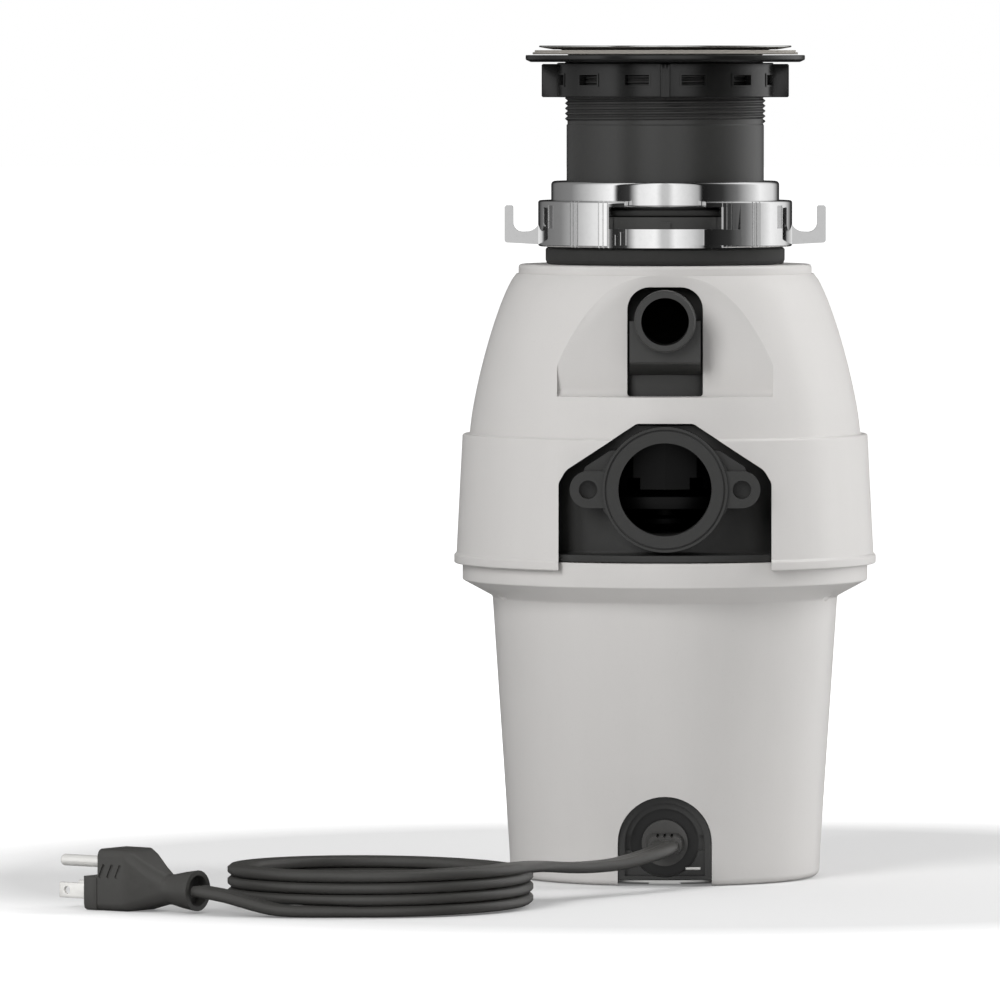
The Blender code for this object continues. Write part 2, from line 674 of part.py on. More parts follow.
def make_base_plate():
    """Steel bottom plate with a window for the reset button and three screw holes."""
    plate = drum(
        "base_plate", BASE_PLATE_R, BASE_PLATE_Z, BASE_PLATE_TOP_Z, "brushed_steel", RING_SIDES
    )
    window = drum(
        "button_window_tool", BUTTON_R + TURNING_GAP, -CUT_FAR, CUT_FAR, "brushed_steel", SCREW_SIDES,
        (SWITCH_X, 0, 0),
    )
    cut(plate, window)
    for i, angle in enumerate(BASE_SCREW_ANGLES):
        turn = math.radians(angle)
        place = (BASE_SCREW_CIRCLE_R * math.cos(turn), BASE_SCREW_CIRCLE_R * math.sin(turn), 0)
        hole = drum(
            f"base_hole_tool_{i + 1}", BASE_SCREW_R + GAP, -CUT_FAR, CUT_FAR, "brushed_steel",
            SCREW_SIDES, place,
        )
        cut(plate, hole)
        make_base_screw(i + 1, place)


def make_base_screw(number, place):
    """Screw up through the base plate, with its head recessed above the floor."""
    head_bottom = BASE_PLATE_TOP_Z + GAP
    outline = [
        (0, BASE_PLATE_Z + GAP),
        (BASE_SCREW_R, BASE_PLATE_Z + GAP),
        (BASE_SCREW_R, head_bottom),
        (BASE_SCREW_HEAD_R, head_bottom),
        (BASE_SCREW_HEAD_R, head_bottom + BASE_SCREW_HEAD_H),
        (0, head_bottom + BASE_SCREW_HEAD_H),
    ]
    turned(f"base_screw_{number}", outline, "zinc_steel", SCREW_SIDES, place)


def make_reset_switch():
    """Overload switch above the base plate, with its reset button underneath."""
    bottom = BASE_PLATE_TOP_Z + GAP
    half_x, half_y = SWITCH_SIZE[0] / 2, SWITCH_SIZE[1] / 2
    switch = block(
        "overload_switch", (-half_x, -half_y, bottom), (half_x, half_y, bottom + SWITCH_SIZE[2]),
        "black_plastic", (SWITCH_X, 0, 0),
    )
    bore_top = bottom + BUTTON_L + TURNING_GAP
    bore = drum(
        "button_bore_tool", BUTTON_R + TURNING_GAP, bottom - CUT_OVER, bore_top, "black_plastic",
        SCREW_SIDES, (SWITCH_X, 0, 0),
    )
    cut(switch, bore)
    low = BASE_PLATE_Z + BUTTON_TRAVEL
    axis = axis_empty("reset_button_axis", (SWITCH_X, 0, 0))
    button = drum(
        "reset_button", BUTTON_R, low, low + BUTTON_L - BUTTON_TRAVEL / 2, "red_plastic",
        SCREW_SIDES, (SWITCH_X, 0, 0),
    )
    hang_on(axis, button)


def make_cord_entry():
    """Black recessed plate that fills the arch, with a round seat for the gland."""
    bottom = BASE_PLATE_TOP_Z + GAP
    front = ENTRY_FRONT_Y
    back = front + ENTRY_DEPTH
    plate = prism(
        "cord_entry_plate", arch_outline(ARCH_R - GAP, bottom), front, back, "black_plastic"
    )
    recess = prism(
        "entry_recess_tool", arch_outline(ARCH_R - ENTRY_WALL, bottom + ENTRY_WALL / 2),
        front - CUT_OVER, front + ENTRY_PLATE_RECESS, "black_plastic",
    )
    seat_back = front + ENTRY_PLATE_RECESS + GLAND_RECESS_DEPTH
    seat = rod_along_y(
        "gland_seat_tool", GLAND_RECESS_R, front - CUT_OVER, seat_back, 0, GLAND_Z, "black_plastic"
    )
    hole = rod_along_y(
        "gland_hole_tool", GLAND_SHANK_R + GAP, front, back + CUT_OVER, 0, GLAND_Z, "black_plastic"
    )
    cut(plate, recess, seat, hole)
    make_gland(seat_back, back)


def make_gland(seat_back, plate_back):
    """Strain relief: a disc in the seat, a shank behind it and a flat tapered nose before it."""
    disc_front = GLAND_FRONT_Y + GLAND_NOSE_L
    gland = rod_along_y(
        "cord_gland", GLAND_R, disc_front, seat_back - GAP, 0, GLAND_Z, "dark_rubber"
    )
    shank = rod_along_y(
        "gland_shank_tool", GLAND_SHANK_R, disc_front + GAP, plate_back, 0, GLAND_Z, "dark_rubber"
    )
    half_w = CORD_WIDTH / 2 + GLAND_NOSE_MARGIN
    half_h = CORD_THICKNESS / 2 + GLAND_NOSE_MARGIN
    sections = [
        (-CUT_OVER, half_w + GLAND_NOSE_FLARE, half_h + GLAND_NOSE_FLARE, 0, half_h),
        (GLAND_NOSE_L, half_w, half_h, 0, half_h - GLAND_NOSE_EDGE),
    ]
    nose = lofted("gland_nose_tool", sections, "dark_rubber")
    nose.rotation_euler = (0, 0, -math.pi / 2)
    nose.location = (0, disc_front, GLAND_Z)
    add(gland, shank, nose)


# ---- Motor ----------------------------------------------------------------------------

def bearing_ring(name, bottom):
    """Bronze bearing around the shaft."""
    ring(
        name, BEARING_R, SHAFT_R + RUNNING_GAP, bottom, bottom + BEARING_H, "bronze", INNER_SIDES
    )


def make_motor_frame():
    """Steel can with an end bell and a bearing at each end."""
    ring(
        "motor_can", MOTOR_R, MOTOR_BORE_R, MOTOR_BOTTOM_Z, MOTOR_TOP_Z, "zinc_steel", RING_SIDES
    )
    seat_r = BEARING_R + GAP
    wall_r = seat_r + BEARING_SEAT_WALL
    bore_r = SHAFT_R + TURNING_GAP
    base = MOTOR_TOP_Z + GAP
    outline = [
        (bore_r, base), (MOTOR_R, base), (MOTOR_R, base + END_BELL_T),
        (wall_r, base + END_BELL_T), (wall_r, base + END_BELL_T + BEARING_H),
        (seat_r, base + END_BELL_T + BEARING_H), (seat_r, base + END_BELL_T),
        (bore_r, base + END_BELL_T),
    ]
    turned("upper_end_bell", outline, "cast_aluminium", RING_SIDES)
    bearing_ring("upper_bearing", base + END_BELL_T + GAP)
    top = MOTOR_BOTTOM_Z - GAP
    outline = [
        (bore_r, top), (bore_r, top - END_BELL_T), (seat_r, top - END_BELL_T),
        (seat_r, top - END_BELL_T - BEARING_H), (wall_r, top - END_BELL_T - BEARING_H),
        (wall_r, top - END_BELL_T), (MOTOR_R, top - END_BELL_T), (MOTOR_R, top),
    ]
    turned("lower_end_bell", outline, "cast_aluminium", RING_SIDES)
    bearing_ring("lower_bearing", top - END_BELL_T - GAP - BEARING_H)


def make_magnets():
    """Two ferrite arcs inside the can."""
    bottom = CORE_Z + (CORE_H - MAGNET_H) / 2
    inner = MAGNET_R - MAGNET_T
    outline = [(inner, bottom), (MAGNET_R, bottom), (MAGNET_R, bottom + MAGNET_H),
               (inner, bottom + MAGNET_H)]
    for letter, middle in (("a", 0.0), ("b", math.pi)):
        turned(
            f"magnet_{letter}", outline, "ferrite", INNER_SIDES // 2,
            start=middle - MAGNET_SPAN / 2, span=MAGNET_SPAN,
        )


def make_brushes():
    """Two carbon brushes on the commutator, each in a holder on the lower end bell."""
    middle_z = COMMUTATOR_Z + COMMUTATOR_H / 2
    inner = COMMUTATOR_R + GAP
    outer = inner + BRUSH_L
    half_w, half_h = BRUSH_W / 2, BRUSH_H / 2
    wall = BRUSH_HOLDER_WALL
    for letter, side in (("a", 1), ("b", -1)):
        near, far = sorted((side * inner, side * outer))
        block(
            f"brush_{letter}", (near, -half_w, middle_z - half_h), (far, half_w, middle_z + half_h),
            "carbon",
        )
        near, far = sorted((side * (outer - BRUSH_HOLDER_L), side * outer))
        holder = block(
            f"brush_holder_{letter}", (near, -half_w - wall, MOTOR_BOTTOM_Z),
            (far, half_w + wall, middle_z + half_h + wall), "brass",
        )
        hole = block(
            f"brush_hole_tool_{letter}", (near - CUT_OVER, -half_w - GAP, middle_z - half_h - GAP),
            (far + CUT_OVER, half_w + GAP, middle_z + half_h + GAP), "brass",
        )
        cut(holder, hole)


def make_rotor(axis):
    """Shaft with the armature, its windings, the commutator and the turntable."""
    shaft = drum("shaft", SHAFT_R, SHAFT_BOTTOM_Z, SHAFT_TOP_Z, "polished_steel")
    bore = SHAFT_R + GAP
    core = ring(
        "armature_core", CORE_R, bore, CORE_Z, CORE_Z + CORE_H, "lamination_steel", RING_SIDES
    )
    slots = spoke_blocks(
        "core_slot_tool", CORE_SLOTS, 0,
        (CORE_R - CORE_SLOT_DEPTH, -CORE_SLOT_W / 2, CORE_Z - CUT_OVER),
        (CORE_R + CUT_OVER, CORE_SLOT_W / 2, CORE_Z + CORE_H + CUT_OVER), "lamination_steel",
    )
    cut(core, slots)
    winding_r = CORE_R - WINDING_SETBACK
    lower = ring(
        "winding_lower", winding_r, WINDING_BORE_R, CORE_Z - GAP - WINDING_H, CORE_Z - GAP,
        "copper", INNER_SIDES,
    )
    top = CORE_Z + CORE_H + GAP
    upper = ring(
        "winding_upper", winding_r, WINDING_BORE_R, top, top + WINDING_H, "copper", INNER_SIDES
    )
    commutator = ring(
        "commutator", COMMUTATOR_R, bore, COMMUTATOR_Z, COMMUTATOR_Z + COMMUTATOR_H, "copper",
        INNER_SIDES,
    )
    table = make_turntable()
    nut = make_turntable_nut()
    hang_on(axis, shaft, core, lower, upper, commutator, table, nut)


# ---- Grinding set -------------------------------------------------------------------------

def make_turntable():
    """Steel grinding plate with a rim, a hub with a slinger under it, and drain holes."""
    under = TURNTABLE_Z
    hub_bottom = under - TURNTABLE_HUB_H
    bore = SHAFT_R + GAP
    outline = [
        (bore, hub_bottom), (SLINGER_R, hub_bottom), (SLINGER_R, hub_bottom + SLINGER_T),
        (TURNTABLE_HUB_R, hub_bottom + SLINGER_T), (TURNTABLE_HUB_R, under),
        (TURNTABLE_R - TURNTABLE_RIM_W, under),
        (TURNTABLE_R - TURNTABLE_RIM_W, under - TURNTABLE_RIM_H),
        (TURNTABLE_R, under - TURNTABLE_RIM_H), (TURNTABLE_R, TURNTABLE_TOP_Z),
        (bore, TURNTABLE_TOP_Z),
    ]
    table = turned("turntable", outline, "polished_steel", RING_SIDES)
    for i in range(TURNTABLE_HOLES):
        angle = math.tau * (i + 0.5) / TURNTABLE_HOLES
        place = (TURNTABLE_HOLE_CIRCLE * math.cos(angle), TURNTABLE_HOLE_CIRCLE * math.sin(angle), 0)
        hole = drum(
            f"table_hole_tool_{i + 1}", TURNTABLE_HOLE_R, under - CUT_OVER, TURNTABLE_TOP_Z + CUT_OVER,
            "polished_steel", SCREW_SIDES // 2, place,
        )
        cut(table, hole)
    return table


def make_turntable_nut():
    """Hexagonal nut that holds the turntable on the shaft."""
    bottom = TURNTABLE_TOP_Z + GAP
    corner_r = NUT_ACROSS / math.sqrt(3)
    nut = drum("turntable_nut", corner_r, bottom, bottom + NUT_H, "zinc_steel", NUT_FLATS)
    bore = drum(
        "nut_bore_tool", SHAFT_R + GAP, bottom - CUT_OVER, bottom + NUT_H + CUT_OVER, "zinc_steel"
    )
    cut(nut, bore)
    return nut


def make_impeller(letter, side, rotor_axis):
    """Swivelling lug on the turntable, and the headed pin it swings on."""
    bottom = TURNTABLE_TOP_Z + GAP
    pivot = (side * IMPELLER_PIVOT_R, 0, 0)
    hole_r = PIN_R + GAP
    back = IMPELLER_W / 2
    front = IMPELLER_L - back
    near, far = sorted((-side * back, side * front))
    arm = block(
        f"impeller_{letter}", (near, -IMPELLER_W / 2, bottom),
        (far, IMPELLER_W / 2, bottom + IMPELLER_T), "polished_steel", pivot,
    )
    lug_near, lug_far = sorted((side * (front - IMPELLER_LUG_L), side * front))
    lug = block(
        f"impeller_lug_tool_{letter}", (lug_near, -IMPELLER_W / 2, bottom),
        (lug_far, IMPELLER_W / 2, bottom + IMPELLER_LUG_H), "polished_steel", pivot,
    )
    hole = drum(
        f"impeller_hole_tool_{letter}", hole_r, bottom - CUT_OVER, bottom + IMPELLER_T + CUT_OVER,
        "polished_steel", INNER_SIDES, pivot,
    )
    add(arm, lug)
    cut(arm, hole)
    head = bottom + IMPELLER_T + GAP
    outline = [
        (0, bottom), (PIN_R, bottom), (PIN_R, head), (PIN_HEAD_R, head),
        (PIN_HEAD_R, head + PIN_HEAD_H), (0, head + PIN_HEAD_H),
    ]
    pin = turned(f"impeller_pin_{letter}", outline, "zinc_steel", SCREW_SIDES, pivot)
    hang_on(rotor_axis, pin)
    axis = axis_empty(f"impeller_axis_{letter}", pivot)
    hang_on(axis, arm)


def make_grind_ring():
    """Stationary ring around the turntable, with slots along its lower edge."""
    top = GRIND_RING_TOP_Z
    bottom = top - GRIND_RING_H
    inner = GRIND_RING_R - GRIND_RING_T
    flange_r = CHAMBER_R - GAP
    outline = [
        (inner, bottom), (GRIND_RING_R, bottom), (GRIND_RING_R, top - GRIND_FLANGE_T),
        (flange_r, top - GRIND_FLANGE_T), (flange_r, top), (inner, top),
    ]
    grind = turned("grind_ring", outline, "brushed_steel", RING_SIDES)
    teeth = spoke_blocks(
        "tooth_tool", GRIND_TEETH, 0, (inner - 2 * CUT_OVER, -GRIND_TOOTH_W / 2, bottom - CUT_OVER),
        (GRIND_RING_R + 2 * CUT_OVER, GRIND_TOOTH_W / 2, bottom + GRIND_TOOTH_H), "brushed_steel",
    )
    cut(grind, teeth)


def make_drain_chamber():
    """Lower chamber: a cup with a hub for the seal, and the flanged drain outlet."""
    foot = CHAMBER_BOTTOM_Z
    floor = CHAMBER_FLOOR_Z
    seat_r = BEARING_R + GAP + BEARING_SEAT_WALL + GAP
    hub_r = seat_r + CHAMBER_HUB_WALL
    hub_bottom = MOTOR_TOP_Z + GAP + END_BELL_T + GAP
    bore_r = SHAFT_R + CHAMBER_WALL
    outline = [
        (seat_r, hub_bottom), (hub_r, hub_bottom), (hub_r, floor), (CHAMBER_INNER_R, floor),
        (CHAMBER_INNER_R, foot), (HOUSING_RIM_R - GAP, foot),
        (HOUSING_RIM_R - GAP, foot + CHAMBER_FOOT_H), (CHAMBER_R, foot + CHAMBER_FOOT_H),
        (CHAMBER_R, CHAMBER_TOP_Z), (bore_r, CHAMBER_TOP_Z), (bore_r, floor), (seat_r, floor),
    ]
    chamber = turned("drain_chamber", outline, "black_plastic", SHELL_SIDES)
    add(chamber, *outlet_tools())
    cavity = ring(
        "chamber_cavity_tool", CHAMBER_INNER_R, bore_r - CUT_OVER, floor + CHAMBER_WALL,
        CHAMBER_TOP_Z + CUT_FAR, "black_plastic", SHELL_SIDES,
    )
    bore = rod_along_y(
        "outlet_bore_tool", OUTLET_BORE_R, OUTLET_Y - CUT_OVER, -GRIND_RING_R, 0, OUTLET_Z,
        "black_plastic", RING_SIDES,
    )
    cut(chamber, cavity, bore)
    for side in (-1, 1):
        hole = rod_along_y(
            f"ear_hole_tool_{side}", EAR_HOLE_R, OUTLET_Y - CUT_OVER, OUTLET_Y + EAR_T,
            side * EAR_HOLE_X, OUTLET_Z, "black_plastic", INNER_SIDES,
        )
        cut(chamber, hole)


def outlet_tools():
    """The solids of the drain outlet: its round flange, its eared plate and its root."""
    face = OUTLET_Y + OUTLET_LIP_H
    flange = rod_along_y(
        "outlet_flange_tool", OUTLET_FLANGE_R, face, -CHAMBER_INNER_R, 0, OUTLET_Z,
        "black_plastic", RING_SIDES,
    )
    lip = rod_along_y(
        "outlet_lip_tool", OUTLET_FLANGE_R - OUTLET_LIP_W, OUTLET_Y, face + CUT_OVER, 0, OUTLET_Z,
        "black_plastic", RING_SIDES,
    )
    ear_front = OUTLET_Y + EAR_SETBACK
    right = arc((EAR_HOLE_X, OUTLET_Z), EAR_R, -90, 90, 8)
    left = arc((-EAR_HOLE_X, OUTLET_Z), EAR_R, 90, 270, 8)
    ears = prism("outlet_ears_tool", right + left, ear_front, ear_front + EAR_T, "black_plastic")
    root = prism(
        "outlet_root_tool",
        arc((EAR_HOLE_X - EAR_R, OUTLET_Z), EAR_R, -90, 90, 4)
        + arc((-EAR_HOLE_X + EAR_R, OUTLET_Z), EAR_R, 90, 270, 4),
        ear_front + EAR_T / 2, -CHAMBER_INNER_R + CHAMBER_WALL, "black_plastic",
    )
    return flange, lip, ears, root


def make_seals():
    """Shaft seal in the chamber's hub, and the gasket under the hopper's flange."""
    seat_r = BEARING_R + GAP + BEARING_SEAT_WALL
    ring(
        "shaft_seal", seat_r, SHAFT_R + RUNNING_GAP, CHAMBER_FLOOR_Z - GAP - SEAL_H,
        CHAMBER_FLOOR_Z - GAP, "dark_rubber", INNER_SIDES,
    )
    ring(
        "chamber_gasket", CHAMBER_R - GAP, GRIND_RING_R + GRIND_RING_T, CHAMBER_GASKET_Z,
        CHAMBER_GASKET_Z + GASKET_T, "dark_rubber",
    )


# ---- Hopper ---------------------------------------------------------------------------

def dome(outer_r, inner_r, low, high, steps):
    """Points of a quarter ellipse from a wide foot up to a narrow top."""
    points = []
    for i in range(steps + 1):
        angle = math.pi / 2 * i / steps
        points.append((
            inner_r + (outer_r - inner_r) * math.cos(angle), low + (high - low) * math.sin(angle)
        ))
    return points


def make_hopper():
    """Grinding hopper: flange and domed body, then its neck and the dishwasher inlet."""
    bottom = HOPPER_BOTTOM_Z
    outline = [(0, bottom), (CHAMBER_R, bottom), (CHAMBER_R, HOPPER_FLANGE_TOP_Z),
               (HOPPER_BODY_R, HOPPER_FLANGE_TOP_Z)]
    outline += dome(HOPPER_BODY_R, NECK_R, HOPPER_BODY_TOP_Z, HOPPER_DOME_TOP_Z, DOME_STEPS)
    outline += [(0, HOPPER_DOME_TOP_Z)]
    hopper = turned("hopper", outline, "black_plastic")
    inner_r = HOPPER_BODY_R - HOPPER_WALL
    cavity = [(0, bottom - CUT_OVER), (inner_r, bottom - CUT_OVER)]
    cavity += dome(
        inner_r, NECK_R - NECK_WALL, HOPPER_BODY_TOP_Z - HOPPER_WALL,
        HOPPER_DOME_TOP_Z - HOPPER_WALL, DOME_STEPS,
    )
    top = HOPPER_DOME_TOP_Z + CUT_OVER
    cavity += [(NECK_R - NECK_WALL, top), (0, top)]
    inside = turned("hopper_cavity_tool", cavity, "black_plastic")
    cut(hopper, inside, inlet_bore_tool("hopper_bore_tool"))
    place_chamber_screws(hopper)
    make_neck()
    make_inlet()


def make_neck():
    """The hopper's neck, with the shoulder that the lock ring grips."""
    bore_r = NECK_R - NECK_WALL
    foot = HOPPER_DOME_TOP_Z + GAP
    shoulder = NECK_TOP_Z - NECK_SHOULDER_H
    outline = [
        (bore_r, foot), (NECK_R, foot), (NECK_R, shoulder), (NECK_SHOULDER_R, shoulder),
        (NECK_SHOULDER_R, NECK_TOP_Z), (bore_r, NECK_TOP_Z),
    ]
    turned("hopper_neck", outline, "black_plastic")


def inlet_bore_tool(name):
    """The bore of the dishwasher inlet, which ends inside the hopper's wall."""
    front = PAD_Y - INLET_L
    return rod_along_y(
        name, INLET_BORE_R, front - CUT_OVER, front + INLET_BORE_DEPTH, 0, INLET_Z, "black_plastic"
    )


def make_inlet():
    """The dishwasher inlet on the hopper's front: a round nozzle and the rib under it."""
    front = PAD_Y - INLET_L
    back = -(NECK_R - NECK_WALL)
    nozzle = rod_along_y(
        "inlet_nozzle", INLET_R, front, back, 0, INLET_Z, "black_plastic", RING_SIDES
    )
    rib_front = front + INLET_RIB_SETBACK
    foot = HOPPER_BODY_TOP_Z - INLET_RIB_SETBACK
    outline = [
        (back, INLET_Z), (rib_front, INLET_Z), (rib_front, INLET_Z - INLET_RIB_DROP),
        (-HOPPER_BODY_R, foot), (back, foot),
    ]
    half_w = SLOT_W / 2 - INLET_RIB_SIDE_GAP
    rib = prism("inlet_rib_tool", outline, -half_w, half_w, "black_plastic", axis="X")
    outer_r = HOPPER_BODY_R + GAP
    root = [(0, HOPPER_FLANGE_TOP_Z), (outer_r, HOPPER_FLANGE_TOP_Z)]
    root += dome(outer_r, NECK_R + GAP, HOPPER_BODY_TOP_Z, HOPPER_DOME_TOP_Z + GAP, DOME_STEPS)
    root += [(0, HOPPER_DOME_TOP_Z + GAP)]
    add(nozzle, rib)
    cut(nozzle, turned("inlet_root_tool", root, "black_plastic"), inlet_bore_tool("inlet_bore_tool"))


def place_chamber_screws(hopper):
    """Screws down through the hopper's flange."""
    circle_r = (HOPPER_BODY_R + CHAMBER_R) / 2
    floor = HOPPER_BOTTOM_Z + GAP
    head = HOPPER_FLANGE_TOP_Z + GAP
    for i in range(CHAMBER_SCREWS):
        angle = math.tau * (i + 0.5) / CHAMBER_SCREWS
        place = (circle_r * math.cos(angle), circle_r * math.sin(angle), 0)
        outline = [
            (0, floor), (CHAMBER_SCREW_R, floor), (CHAMBER_SCREW_R, head),
            (CHAMBER_SCREW_HEAD_R, head), (CHAMBER_SCREW_HEAD_R, head + CHAMBER_SCREW_HEAD_H),
            (0, head + CHAMBER_SCREW_HEAD_H),
        ]
        turned(f"chamber_screw_{i + 1}", outline, "zinc_steel", SCREW_SIDES, place)
        hole = drum(
            f"chamber_hole_tool_{i + 1}", CHAMBER_SCREW_R + GAP, HOPPER_BOTTOM_Z - CUT_OVER,
            head + CUT_OVER, "black_plastic", SCREW_SIDES, place,
        )
        cut(hopper, hole)


# ---- Upper cover -----------------------------------------------------------------------

def shoulder_curve(inset):
    """The cover's shoulder from its step up to its rim, moved inwards by an inset."""
    points = []
    for i in range(COVER_SHOULDER_STEPS):
        z = COVER_STEP_Z + (COVER_SHOULDER_TOP_Z - COVER_STEP_Z) * i / COVER_SHOULDER_STEPS
        points.append((shoulder_radius(z) - inset, z))
    return points + [(COVER_SHOULDER_TOP_R - inset, COVER_SHOULDER_TOP_Z - inset)]


def pad_outline(inset):
    """The front pad's recess from above the cover down to its ledge."""
    half_w = PAD_HALF_W + inset
    bottom = PAD_BOTTOM_Z - inset
    top = COVER_SHOULDER_TOP_Z + PAD_ABOVE_SHOULDER
    return [(-half_w, bottom), (half_w, bottom), (half_w, top), (-half_w, top)]


def make_upper_cover():
    """Domed outer cover with a flat front pad, an inlet slot and the drain opening."""
    lip_r = COVER_FOOT_R + COVER_LIP_W
    outline = [
        (0, COVER_BOTTOM_Z), (lip_r, COVER_BOTTOM_Z), (lip_r, COVER_BOTTOM_Z + COVER_LIP_H),
        (COVER_FOOT_R, COVER_BOTTOM_Z + COVER_LIP_H + COVER_LIP_W),
        (COVER_SKIRT_TOP_R, COVER_STEP_Z),
    ]
    outline += shoulder_curve(0)
    outline += [(COVER_RIM_R, COVER_SHOULDER_TOP_Z)]
    outline += arc(
        (COVER_RIM_R - COVER_RIM_ROUND, COVER_TOP_Z - COVER_RIM_ROUND), COVER_RIM_ROUND, 0, 90, 2
    )
    outline += [(0, COVER_TOP_Z)]
    cover = turned("upper_cover", outline, "light_grey_plastic", SHELL_SIDES)
    front = -2 * lip_r
    pad = prism("pad_tool", pad_outline(0), front, PAD_Y, "light_grey_plastic")
    cut(cover, pad, cover_inside_tool(front), neck_hole_tool(), slot_tool(), opening_tool())


def cover_inside_tool(front):
    """The hollow of the cover: its outside moved inwards by one wall."""
    inner_foot = COVER_FOOT_R - COVER_WALL
    outline = [
        (0, COVER_BOTTOM_Z - CUT_OVER), (inner_foot, COVER_BOTTOM_Z - CUT_OVER),
        (inner_foot, COVER_BOTTOM_Z + COVER_LIP_H + COVER_LIP_W),
        (COVER_SKIRT_TOP_R - COVER_WALL, COVER_STEP_Z - COVER_WALL),
    ]
    outline += shoulder_curve(COVER_WALL)
    outline += [(0, COVER_SHOULDER_TOP_Z - COVER_WALL)]
    inside = turned("cover_inside_tool", outline, "light_grey_plastic", SHELL_SIDES)
    pad = prism(
        "pad_inside_tool", pad_outline(COVER_WALL), front, PAD_Y + COVER_WALL,
        "light_grey_plastic",
    )
    cut(inside, pad)
    return inside


def neck_hole_tool():
    """The round hole in the cover's top for the hopper's neck."""
    return drum(
        "neck_hole_tool", NECK_R + TURNING_GAP, COVER_TOP_Z - CUT_FAR, COVER_TOP_Z + CUT_OVER,
        "light_grey_plastic", RING_SIDES,
    )


def slot_tool():
    """The upright slot in the pad for the dishwasher inlet."""
    half_w = SLOT_W / 2
    centre_z = SLOT_TOP_Z - SLOT_TOP_ROUND
    outline = [(-half_w, PAD_BOTTOM_Z)]
    outline += arc((-half_w + SLOT_TOP_ROUND, centre_z), SLOT_TOP_ROUND, 180, 90, 5)
    outline += arc((half_w - SLOT_TOP_ROUND, centre_z), SLOT_TOP_ROUND, 90, 0, 5)
    outline += [(half_w, PAD_BOTTOM_Z)]
    return prism(
        "slot_tool", outline, PAD_Y - CUT_FAR, PAD_Y + COVER_WALL + CUT_OVER, "light_grey_plastic"
    )


def opening_tool():
    """The wide opening around the drain outlet, open at the cover's lower edge."""
    right = [
        (OPENING_HALF_W, COVER_BOTTOM_Z - CUT_OVER), (OPENING_HALF_W, OPENING_SIDE_Z),
        (OPENING_CORNER_X, OPENING_CORNER_Z), (OPENING_TOP_HALF_W, OPENING_TOP_Z),
    ]
    left = [(-x, z) for x, z in reversed(right)]
    return prism(
        "opening_tool", right + left, -2 * COVER_FOOT_R, -CHAMBER_INNER_R + CUT_FAR,
        "light_grey_plastic",
    )


# ---- Sink mount --------------------------------------------------------------------------

def make_collar():
    """Cushion between the cover and the lock ring, and the gasket on the neck."""
    ring(
        "cushion_collar", COLLAR_R, NECK_R + TURNING_GAP, COLLAR_Z, COLLAR_Z + COLLAR_H,
        "dark_rubber",
    )
    ring(
        "throat_gasket", NECK_R - GAP, SLEEVE_R + GAP, THROAT_GASKET_Z,
        THROAT_GASKET_Z + THROAT_GASKET_H, "dark_rubber",
    )


def make_upper_ring():
    """Fixed mounting ring on the sleeve, with three lugs that carry the lock ring."""
    bottom = LOCK_RING_Z + UPPER_RING_Z
    upper = ring(
        "upper_ring", UPPER_RING_R, SLEEVE_R + GAP, bottom, bottom + UPPER_RING_H, "chrome"
    )
    lug_reach = math.sqrt((LOCK_GROOVE_R - 2 * TURNING_GAP) ** 2 - LOCK_LUG_HALF_W ** 2)
    lugs = spoke_blocks(
        "lug_tool", LOCK_LUGS, LOCK_LUG_ANGLE,
        (NECK_R, -LOCK_LUG_HALF_W, LOCK_GROOVE_TOP_Z - GAP - LOCK_LUG_H),
        (lug_reach, LOCK_LUG_HALF_W, LOCK_GROOVE_TOP_Z - GAP), "chrome",
    )
    add(upper, lugs)


def hook_outline(side):
    """A J-shaped hook beside the lock ring."""
    base = LOCK_RING_Z
    root = LOCK_RING_R - HOOK_ROOT
    inner = HOOK_REACH - HOOK_ARM_W
    floor = base + HOOK_BOTTOM_H + HOOK_FLOOR_T
    top = base + HOOK_TOP_H
    round_r = HOOK_ROUND
    points = [(root, base + HOOK_BOTTOM_H / 2)]
    corner = HOOK_CORNER
    points += arc((HOOK_REACH - corner, base + HOOK_BOTTOM_H + corner), corner, -90, 0, 2)
    points += [(HOOK_REACH, top), (inner, top)]
    points += arc((inner - round_r, floor + round_r), round_r, 0, -90, 4)
    points += [(LOCK_RING_R + round_r, floor)]
    points += [(LOCK_RING_R, floor + round_r), (root, floor + round_r)]
    return [(side * x, z) for x, z in points]


def make_lock_ring(axis):
    """Turning ring that carries the disposal, with a front window and two hooks."""
    z = LOCK_RING_Z
    groove_top = LOCK_GROOVE_TOP_Z
    groove_bottom = groove_top - LOCK_LUG_H - 2 * GAP
    outline = [
        (NECK_R + GAP + GAP / 2, z), (LOCK_RING_R, z), (LOCK_RING_R, z + LOCK_RING_H),
        (LOCK_BORE_R, z + LOCK_RING_H), (LOCK_BORE_R, groove_top), (LOCK_GROOVE_R, groove_top),
        (LOCK_GROOVE_R, groove_bottom), (LOCK_BORE_R, groove_bottom),
        (LOCK_BORE_R, z + LOCK_LIP_H), (NECK_R + GAP + GAP / 2, z + LOCK_LIP_H),
    ]
    lock = turned("lock_ring", outline, "chrome")
    for side, name in ((1, "right"), (-1, "left")):
        hook = prism(f"hook_tool_{name}", hook_outline(side), -HOOK_T / 2, HOOK_T / 2, "chrome")
        add(lock, hook)
    front = -LOCK_RING_R - CUT_OVER
    back = -LOCK_RING_R + WINDOW_DEPTH
    window = block(
        "window_tool", (-WINDOW_HALF_W, front, z + WINDOW_BOTTOM_H),
        (WINDOW_HALF_W, back, z + WINDOW_STEP_H), "chrome",
    )
    gate = block(
        "window_gate_tool", (-WINDOW_TOP_HALF_W, front, z + WINDOW_STEP_H - CUT_OVER),
        (WINDOW_TOP_HALF_W, back, z + LOCK_RING_H + CUT_OVER), "chrome",
    )
    cut(lock, window, gate)
    hang_on(axis, lock)


